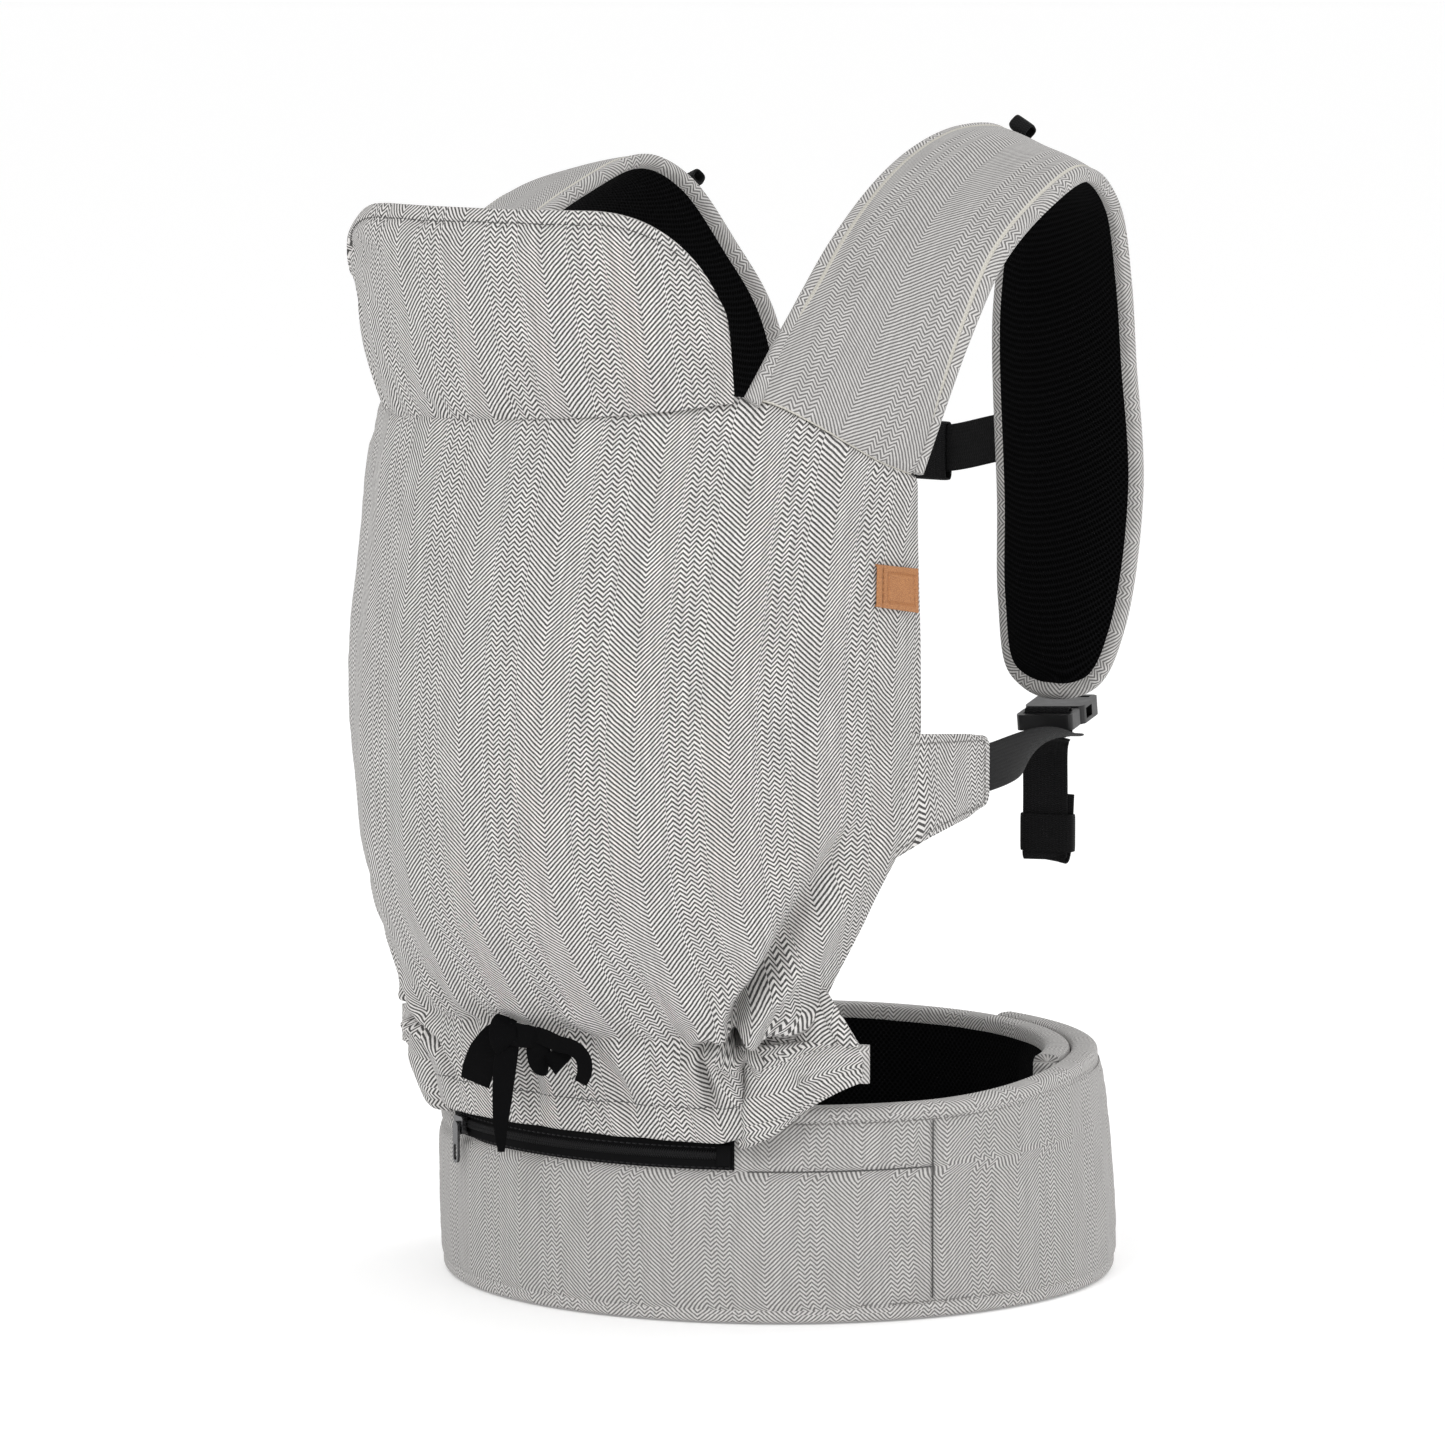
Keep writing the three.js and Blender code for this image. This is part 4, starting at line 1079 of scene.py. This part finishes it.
def drawstring():
    y = -208
    ribbon_strip("bow_end_flat", [
        (-13, y - 1, 149.5), (-19, y - 4, 146), (-26, y - 5, 137), (-32, y - 3, 128), (-37, y, 119.5),
    ], [11, 15, 17, 17, 16], node="drawstring_bow")
    ribbon_strip("bow_top", [
        (-23, y - 1, 149), (-13, y - 5, 149), (-4, y - 6, 148), (4, y - 5, 147.5), (10, y - 2, 146.5),
    ], [9, 11, 12, 12, 10])
    ribbon_strip("bow_loop_near", [
        (4, y - 2, 147.5), (9, y - 5, 141), (13, y - 7, 135.5), (16.5, y - 7, 134), (20, y - 4, 137),
        (24, y - 1, 142),
    ], [12, 14, 13, 12, 10, 9], directions=[
        (1, 0, 0.6), (1, 0.2, 0.5), (0.9, 0.4, 0.3), (0.7, 0.7, 0.6), (0.7, 0.4, -0.5), (0.5, 0.4, -0.8),
    ])
    ribbon_strip("bow_loop_far", [
        (6, y - 3, 149), (14, y - 5, 148), (23, y - 6, 146), (32, y - 5, 144.5), (37.8, y - 4, 139.5),
        (37.8, y - 3, 132.3), (34.5, y - 2, 126.6),
    ], [8, 8.5, 8.5, 8, 8, 8, 7])
    ribbon_strip("bow_knot", [
        (-12, y - 4, 156), (-11, y - 8.5, 153), (-10, y - 10, 147.5), (-10, y - 8, 142), (-10.5, y - 4, 140),
    ], [11, 13.5, 14.5, 13.5, 11])
    ribbon_strip("hanging_end", [
        (-10, y - 6, 143), (-11.5, y - 7, 129), (-13.5, y - 6.5, 115), (-15, y - 6, 101),
        (-14.2, y - 6.5, 86.5),
    ], [12, 12, 10.5, 8, 3.6], "drawstring_tail", "drawstring_tail")


# ------------------------------------------------------------------ headrest
def headrest_grid(rows, columns, fullness):
    """The headrest's two faces: a padded crescent that flares out and rounds back at its rim."""
    reach = CORNER_ANGLE
    angle, up = np.meshgrid(np.linspace(-reach, reach, columns), np.linspace(0, 1, rows))
    side = np.abs(angle) / reach
    corner = np.clip((side - 0.45) / 0.55, 0, 1)
    bottom = seam_height(angle) - 4.0
    crown = mix(bottom + 6, HEADREST_TOP, np.sqrt(np.clip(1 - corner ** 2.3, 0, 1)))
    z = mix(bottom, crown, up)
    lift = (z - SEAM_FRONT) / (HEADREST_TOP - SEAM_FRONT)
    base = panel_point(angle, np.full_like(z, SEAM_FRONT))
    out = polar(angle, 1.0, 0.0)
    flare = 27 * np.clip(lift, 0, 1) ** 1.1 - 6 * smoothstep(lift, 0.8, 1.05)
    middle = np.stack([base[..., 0], base[..., 1], z], -1) + out * (flare - 4.6)[..., None]
    across = 1 - side ** 6
    filled = (1 - np.abs(2 * up - 1) ** 3.0) * across
    half = 1.5 + fullness * filled
    return angle, up, lift, out, middle + out * half[..., None], middle - out * half[..., None]


def headrest_cloth():
    rows, columns = 24, 50
    *_, face, back = headrest_grid(rows, columns, 4.4)
    held = edges_held(rows, columns)
    return {
        "headrest_face": dict(grid=face, held=held, slack=0.018, cap=6),
        "headrest_back": dict(grid=back[:, ::-1], held=held, slack=0.012, cap=4),
    }


def headrest(face, back):
    rows, columns = 120, 240
    angle, up, lift, out, _, _ = headrest_grid(rows, columns, 4.4)
    face, back = refine(face, rows, columns), refine(back[:, ::-1], rows, columns)
    reach, inset = 108, 8
    from_rim = np.linspace(reach, 0, rows)[:, None] + 0 * angle
    face = face - out * (1.1 * bell(from_rim, inset, 1.5))[..., None]
    uv = to_uv(np.radians(angle) * 165 * (1 + 0.16 * lift), face[..., 2])
    fit(pad("headrest_pad", face, back, HERRINGBONE, uv), FOLD, "woven", "headrest")
    sewn = int(rows * (1 - inset / reach)), slice(26, -26)
    line = stitches("headrest_stitches", face[sewn] + out[sewn] * 0.1, out[sewn], DARK_THREAD_AND_SEAM_SHADOW, 2.4)
    fit(line, FOLD, "woven")


# ------------------------------------------------------------------ shoulder straps
class Strap:
    """A strap's edge loop, and the ruled surface across it, joined to the panel's curved seam."""

    def __init__(self, side):
        neck_edge, outer_edge = (RIGHT_NECK, RIGHT_OUTER) if side > 0 else (LEFT_NECK, LEFT_OUTER)
        mirror = np.array([side, 1, 1])
        count = 900
        loop = spline(np.array(neck_edge + STRAP_TIP + outer_edge[::-1]) * mirror, count)
        self.loop = loop
        self.side = side
        tip = np.array(STRAP_TIP[0]) * mirror
        self.tip = int(np.argmin(np.linalg.norm(loop - tip, axis=1)))
        neck, outer = self.pair(loop, 400)
        across = unit(outer - neck)
        along = tangents((neck + outer) / 2)
        normal = unit(np.cross(across, along)) * side
        normal[-12:] = normal[-13]
        self.normal = smooth_rows(normal, 30)
        index = np.arange(count)
        run = np.where(index <= self.tip, index / self.tip, (count - 1 - index) / (count - 1 - self.tip))
        self.loop_normal = self.normal_at(run)
        inward = unit(np.cross(self.loop_normal, tangents(loop))) * side
        centre = (neck + outer)[200] / 2
        self.inward = inward if np.sum(inward[150] * (centre - loop[150])) > 0 else -inward

    def normal_at(self, run):
        return unit(sampled(run, np.linspace(0, 1, len(self.normal)), self.normal))

    def pair(self, loop, count):
        return resample(loop[:self.tip + 1], count), resample(loop[self.tip:][::-1], count)

    def surface(self, inset, rows, columns):
        """Grid (along, across) drawn in from the edge loop, with its normals."""
        neck, outer = self.pair(self.loop + self.inward * inset, rows)
        s = np.linspace(0, 1, columns)
        points = mix(neck[:, None], outer[:, None], s[None, :, None])
        t = np.linspace(0, 1, rows)
        turn = mix(CORNER_ANGLE + 2.2, 88.0, s) * self.side
        seam = panel_point(turn, seam_height(turn) - 0.3)
        wanted = seam - polar(turn, 1.0, 0.0) * 4.2
        shift = (wanted - points[0])[None] * (1 - smoothstep(t, 0, 0.15))[:, None, None]
        points = points + shift
        bowed = grid_normals(points)
        straight = self.normal_at(t)[:, None]
        bowed = bowed * np.sign(np.sum(bowed * straight, -1, keepdims=True))
        near = (1 - smoothstep(t, 0.1, 0.22))[:, None, None]
        return points, unit(mix(np.broadcast_to(straight, bowed.shape), bowed, near))


def strap_profile(t, s):
    """How full the padding is along and across the strap."""
    return (1 - np.abs(2 * s - 1) ** 3) * smoothstep(t, 0.0, 0.07) * (1 - smoothstep(t, 0.93, 0.995))


def strap_faces(shape, rows, columns):
    points, normal = shape.surface(6.0, rows, columns)
    t, s = np.linspace(0, 1, rows)[:, None], np.linspace(0, 1, columns)[None]
    fill = strap_profile(t, s)
    tuck = np.exp(-t / 0.006)
    outer = points + normal * (2.4 + 3.2 * fill - 2.8 * tuck)[..., None]
    inner = points - normal * (2.2 + 2.6 * fill)[..., None]
    core = points + normal * (1.0 + 1.6 * fill - 2.8 * np.exp(-t / 0.02))[..., None]
    return outer, inner, core


def strap_cloth(side):
    shape = Strap(side)
    rows, columns = 190, 17
    outer, inner, _ = strap_faces(shape, rows, columns)
    held = edges_held(rows, columns)
    held[:6] = held[-10:] = True
    out_turn, in_turn = (outer[:, ::-1], inner) if side > 0 else (outer, inner[:, ::-1])
    return {
        side_name("strap_outer", side): dict(grid=out_turn, held=held, slack=0.014, cap=5),
        side_name("strap_inner", side): dict(grid=in_turn, held=held, slack=0.014, cap=5),
    }


def strap(side, outer, inner):
    shape = Strap(side)
    body = strap_blend(side)
    name, mirror = sided(side)
    rows, columns = 560, 48
    outer, inner = refine(outer, rows, columns), refine(inner, rows, columns)
    _, _, core = strap_faces(shape, 300, 16)

    def both(part, grid, thickness, material, slot, *nodes):
        """The strap's front stretch, at its root, is a piece left in place, and the rest rides on the strap.
        """
        split = int(len(grid) * ROOT_SHARE)
        uv = cloth_uv(grid)
        front = sheet(name(part + "_front"), grid[:split + 1], thickness, material, uv[:split + 1])
        back = sheet(name(part + "_back"), grid[split:], thickness, material, uv[split:])
        fit(front, body, slot)
        fit(back, name("strap"), slot, *nodes)

    both("strap_cloth", outer, 1.4, SOFT_HERRINGBONE, "woven", name("strap_cover"))
    both("strap_lining", inner, 1.4, SPACER, "mesh", name("strap_mesh"))
    both("strap_padding", core[:, ::-1] if side > 0 else core, 3.0, FOAM, "foam", name("strap_foam"))

    path = shape.loop + shape.inward * 4.2
    count = len(path)
    section = ring_section(8.6, 7.6, power=2.8, count=24)
    grid = sweep_grid(path, shape.inward, shape.loop_normal, section)
    uv = to_uv(*np.meshgrid(path_lengths(section), path_lengths(path)))
    cut_a = int(shape.tip * ROOT_SHARE)
    cut_b = count - 1 - int((count - 1 - shape.tip) * ROOT_SHARE)

    def stretch(part, low, high):
        part_uv = np.concatenate([uv[low:low + 1], uv[low:high], uv[high - 1:high]])
        return patch_object(name(part), [(capped(grid[low:high]), part_uv)], BINDING)

    fit(stretch("strap_binding_neck", 0, cut_a + 1), body, "woven")
    fit(stretch("strap_binding_loop", cut_a, cut_b + 1), name("strap"), "woven", name("strap_binding"))
    fit(stretch("strap_binding_outer", cut_b, count), body, "woven")
    line = path + shape.inward * 3.7 + shape.loop_normal * 3.4
    for part, low, high, host in (
        ("neck", 20, cut_a, body), ("loop", cut_a, cut_b, name("strap")), ("outer", cut_b, count - 20, body),
    ):
        row = stitches(name(f"strap_stitches_{part}"), line[low:high], shape.loop_normal[low:high], THREAD)
        fit(row, host, "woven")
    return shape


def hood_loop(shape):
    """A small standing loop of black tape for a hood's button tab."""
    side = shape.side
    neck, outer = shape.pair(shape.loop, 1001)
    row = 462
    up = shape.normal_at(np.array([row / 1000.0]))[0]
    at = mix(neck[row], outer[row], 0.1) + up * 6.6
    across = unit(outer[row] - neck[row])
    across = unit(across - up * (across @ up))
    along = unit(np.cross(up, across))
    ring = ring_about(at + up * 2.9, 7, 7, along, up, 3.2)
    piece = hoop(side_name("hood_loop_tape", side), ring, across, 12, 1.3, WEBBING)
    fit(piece, side_name("strap", side), "webbing", side_name("hood_loop", side))


# ------------------------------------------------------------------ lower shoulder webbing
def shoulder_webbing(side):
    name, mirror = sided(side)
    path = spline(np.array([
        (161, -48, 280), (160, -31, 280.5), (155, -2, 282.5), (144, 36, 285), (128, 72, 285), (115, 95, 283),
    ]) * mirror, 120)
    level = np.array([0.95 * side, 0.3, 0])
    turn = (1 - smoothstep(np.linspace(0, 1, 120), 0.2, 0.95))[:, None]
    piece = webbing_strip(name("lower_webbing"), path, unit(mix(level, UP, turn)), 25)
    fit(piece, "panel", "webbing", name("shoulder_webbing"))

    # the webbing threaded over the plug's bar, in the plug's own directions
    plug = np.array([105 * side, 103, 291.5])
    forward = unit(np.array([0.3 * side, -0.93, -0.12]))
    wide = unit(np.cross(np.array([0, -0.12, 1.0]), forward))
    above = np.cross(forward, wide)
    steps = np.array([
        (19, -7.2), (15.5, -6.6), (12.6, -3), (12.5, 2), (11.5, 5.4), (9.2, 6.2), (7, 5.4), (6, 2), (5.9, -3),
        (8, -7.0), (12, -8.4),
    ])
    bent = spline(plug + steps[:, :1] * forward + steps[:, 1:] * above, 120)
    fit(webbing_strip(name("plug_loop"), bent, wide, 24.6, 1.3), name("shoulder_plug"), "webbing")

    level = unit(level)
    out = unit(np.cross(level, UP)) * side
    # across, inwards and height of the hanging tail, down and doubled back at its hem
    down = np.array([
        (4, -9, 282.5), (1.5, -4, 280), (0, 0, 272), (0, 0.6, 250), (0, 0, 222), (0, 0, 218), (0.2, 1.2, 216),
        (0.8, 2.6, 217.5), (2, 2.6, 228), (3, 2.8, 251),
    ])
    base = np.array([106.5 * side, 93, 0])
    tail = spline(base + down[:, :1] * level - down[:, 1:2] * out + down[:, 2:] * UP, 160)
    fit(webbing_strip(name("tail_webbing"), tail, level, 25), name("tail"), "webbing", name("shoulder_tail"))
    ring = ring_about(base + 230 * UP + level * 1.2 - out * 1.3, 28.6, 6.6, level, out, 5, 40)
    band = hoop(name("tail_keeper_band"), ring, UP, 20, 1.3, ELASTIC, turned=True)
    fit(band, name("tail_keeper"), "webbing", name("tail_keeper"))


# ------------------------------------------------------------------ chest strap
def chest_strap():
    back = np.array([0, 1.0, 0])
    # X, distance behind the strap's plane, drop below the adjusters
    right = (127, 1.5, 0), (90, 1.5, 1), (56, 0, 8), (24, -1, 15), (-18, -1, 18)
    left = (-127, 1.5, 0), (-94, 1.5, 1), (-70, 0, 9), (-42, -1, 18)
    for side, points, count in ((1, right, 120), (-1, left, 90)):
        path = spline([(x, CHEST_Y + y, CHEST_Z - drop) for x, y, drop in points], count)
        name, body = side_name("chest_webbing", side), side_name("chest", side)
        fit(webbing_strip(name + "_strip", path, UP, 25), body, "webbing", name)
        for k, shift in enumerate((-10, 10)):
            row = stitches(f"{name}_stitches_{k}", path[:14] + 0.9 * back + shift * UP, back, BLACK_THREAD)
            fit(row, body, "webbing")
    ring = ring_about(np.array([12, CHEST_Y - 1, CHEST_Z - 16.8]), 30.5, 6, UP, back, 5, 40)
    band = hoop("chest_keeper_band", ring, (1, 0, 0), 22, 1.3, ELASTIC)
    fit(band, "chest_keeper", "webbing", "chest_keeper")


def strap_rail(side, shape):
    """The narrow webbing on the strap's outer face that the chest strap's adjuster slides along."""
    rows = 60
    t = np.linspace(0.60, 0.80, rows)
    neck, outer = shape.pair(shape.loop, 1001)
    index = (t * 1000).astype(int)
    middle = mix(neck[index], outer[index], 0.52)
    up = shape.normal_at(t)
    path = smooth_rows(middle + up * 7.9, 10)
    across = unit(outer[index] - neck[index])
    piece = webbing_strip(side_name("strap_rail", side), path, across, 20, 1.4)
    fit(piece, side_name("strap", side), "webbing")


# ------------------------------------------------------------------ waist closure
def waist_closure():
    middle = BELT_HEIGHT / 2
    runs = ("right", (150, 172), (181, 179.5)), ("left", (184.5, 216), (163.5, 157.5))
    for name, turn, radius in runs:
        path = polar(np.linspace(*turn, 90), np.linspace(*radius, 90), middle)
        piece = webbing_strip(f"waist_webbing_{name}_strip", path, UP, 38, 1.6)
        fit(piece, "belt", "webbing", f"waist_webbing_{name}")
    angle = np.linspace(151, 158, 30)
    for k, height in enumerate((-15, 0, 15)):
        path = polar(angle, 182.0, middle + height)
        row = stitches(f"waist_box_stitches_{k}", path, polar(angle, 1.0, 0.0), BLACK_THREAD)
        fit(row, "belt", "webbing")
    at = 209
    ring = ring_about(polar(at, 158.9, middle), 42, 6.4, UP, polar(at, 1.0, 0.0), 5, 40)
    band = hoop("waist_keeper_band", ring, polar(at + 90, 1.0, 0.0), 20, 1.4, ELASTIC)
    fit(band, "waist_keeper", "webbing", "waist_keeper")


def moulded_parts():
    """The buckles, adjusters and zip metal keep their CAD shape, with softened edges."""
    for name, piece in NODES.items():
        if any(word in name for word in ("socket", "plug", "prong", "adjuster")):
            width, material = 0.0006, PLASTIC
        elif name in ("zip_slider", "zip_pull"):
            width, material = 0.00035, METAL
        else:
            continue
        piece.data.materials.clear()
        piece.data.materials.append(material)
        soften = piece.modifiers.new("SoftEdges", "BEVEL")
        soften.width = width
        soften.segments = 3
        soften.limit_method = "ANGLE"
        soften.angle_limit = math.radians(40)
        soften.use_clamp_overlap = True


# ------------------------------------------------------------------ scene dressing
def camera_and_light():
    """The viewing angle: 38 degrees round from the front, a little above the carrier's middle."""
    azimuth = math.radians(38)
    right = np.array([math.cos(azimuth), math.sin(azimuth), 0])
    away = np.array([math.sin(azimuth), -math.cos(azimuth), 0])
    shift = right * -0.030 + np.array([0, CENTRE_Y, 0])
    eye = away * 4.2 + shift + np.array([0, 0, 0.7705])
    target = shift + np.array([0, 0, 0.2895])
    def aimed(data, spot, aim):
        made = add_object(data.name, data)
        made.location = spot
        made.rotation_euler = (Vector(aim) - Vector(spot)).to_track_quat("-Z", "Y").to_euler()
        return made

    camera = aimed(bpy.data.cameras.new("Camera"), eye, target)
    camera.data.lens = 199
    camera.data.sensor_width = 36
    camera.data.clip_end = 400
    bpy.context.scene.camera = camera

    for name, spot, size, power in (
        ("KeyLight", (0.7, -2.9, 2.5), 1.2, 34),
        ("FillLight", (2.6, -0.8, 1.2), 2.0, 10),
        ("BackLight", (0.5, 2.4, 2.2), 1.8, 20),
    ):
        lamp = bpy.data.lights.new(name, "AREA")
        lamp.energy = power
        lamp.size = size
        aimed(lamp, spot, (0, 0, 0.3))
    world = bpy.data.worlds.new("Studio")
    world.use_nodes = True
    nodes, links = world.node_tree.nodes, world.node_tree.links
    sky = nodes["Background"]
    sky.inputs[0].default_value = (1, 1, 1, 1)
    seen = nodes.new("ShaderNodeLightPath")
    strength = nodes.new("ShaderNodeMapRange")
    strength.inputs["To Min"].default_value = 0.85
    strength.inputs["To Max"].default_value = 1.15
    links.new(seen.outputs["Is Camera Ray"], strength.inputs["Value"])
    links.new(strength.outputs["Result"], sky.inputs[1])
    bpy.context.scene.world = world
    bpy.context.scene.view_settings.view_transform = "Standard"

    bpy.ops.mesh.primitive_plane_add(size=160, location=(0, 0, -0.0005))
    floor = bpy.context.object
    floor.name = "StudioFloor"
    s = Shader("PaleFloor")
    s.surface.inputs["Emission Color"].default_value = (1, 1, 1, 1)
    s.surface.inputs["Emission Strength"].default_value = 0.17
    floor.data.materials.append(s.finish((0.97, 0.97, 0.97), 0.85, specular=0.05))


batch = {**belt_cloth(), **panel_cloth(), **headrest_cloth(), **strap_cloth(1), **strap_cloth(-1)}
settled = settle(batch)
belt(settled["belt_cover"], settled["belt_lining"])
pocket_zip()
panel(settled["panel"])
headrest(settled["headrest_face"], settled["headrest_back"])
leather_tag()
drawstring()
for hand in (1, -1):
    shape = strap(hand, settled[side_name("strap_outer", hand)], settled[side_name("strap_inner", hand)])
    hood_loop(shape)
    strap_rail(hand, shape)
    side_flap(hand)
    side_wing(hand)
    shoulder_webbing(hand)
chest_strap()
waist_closure()
moulded_parts()
camera_and_light()
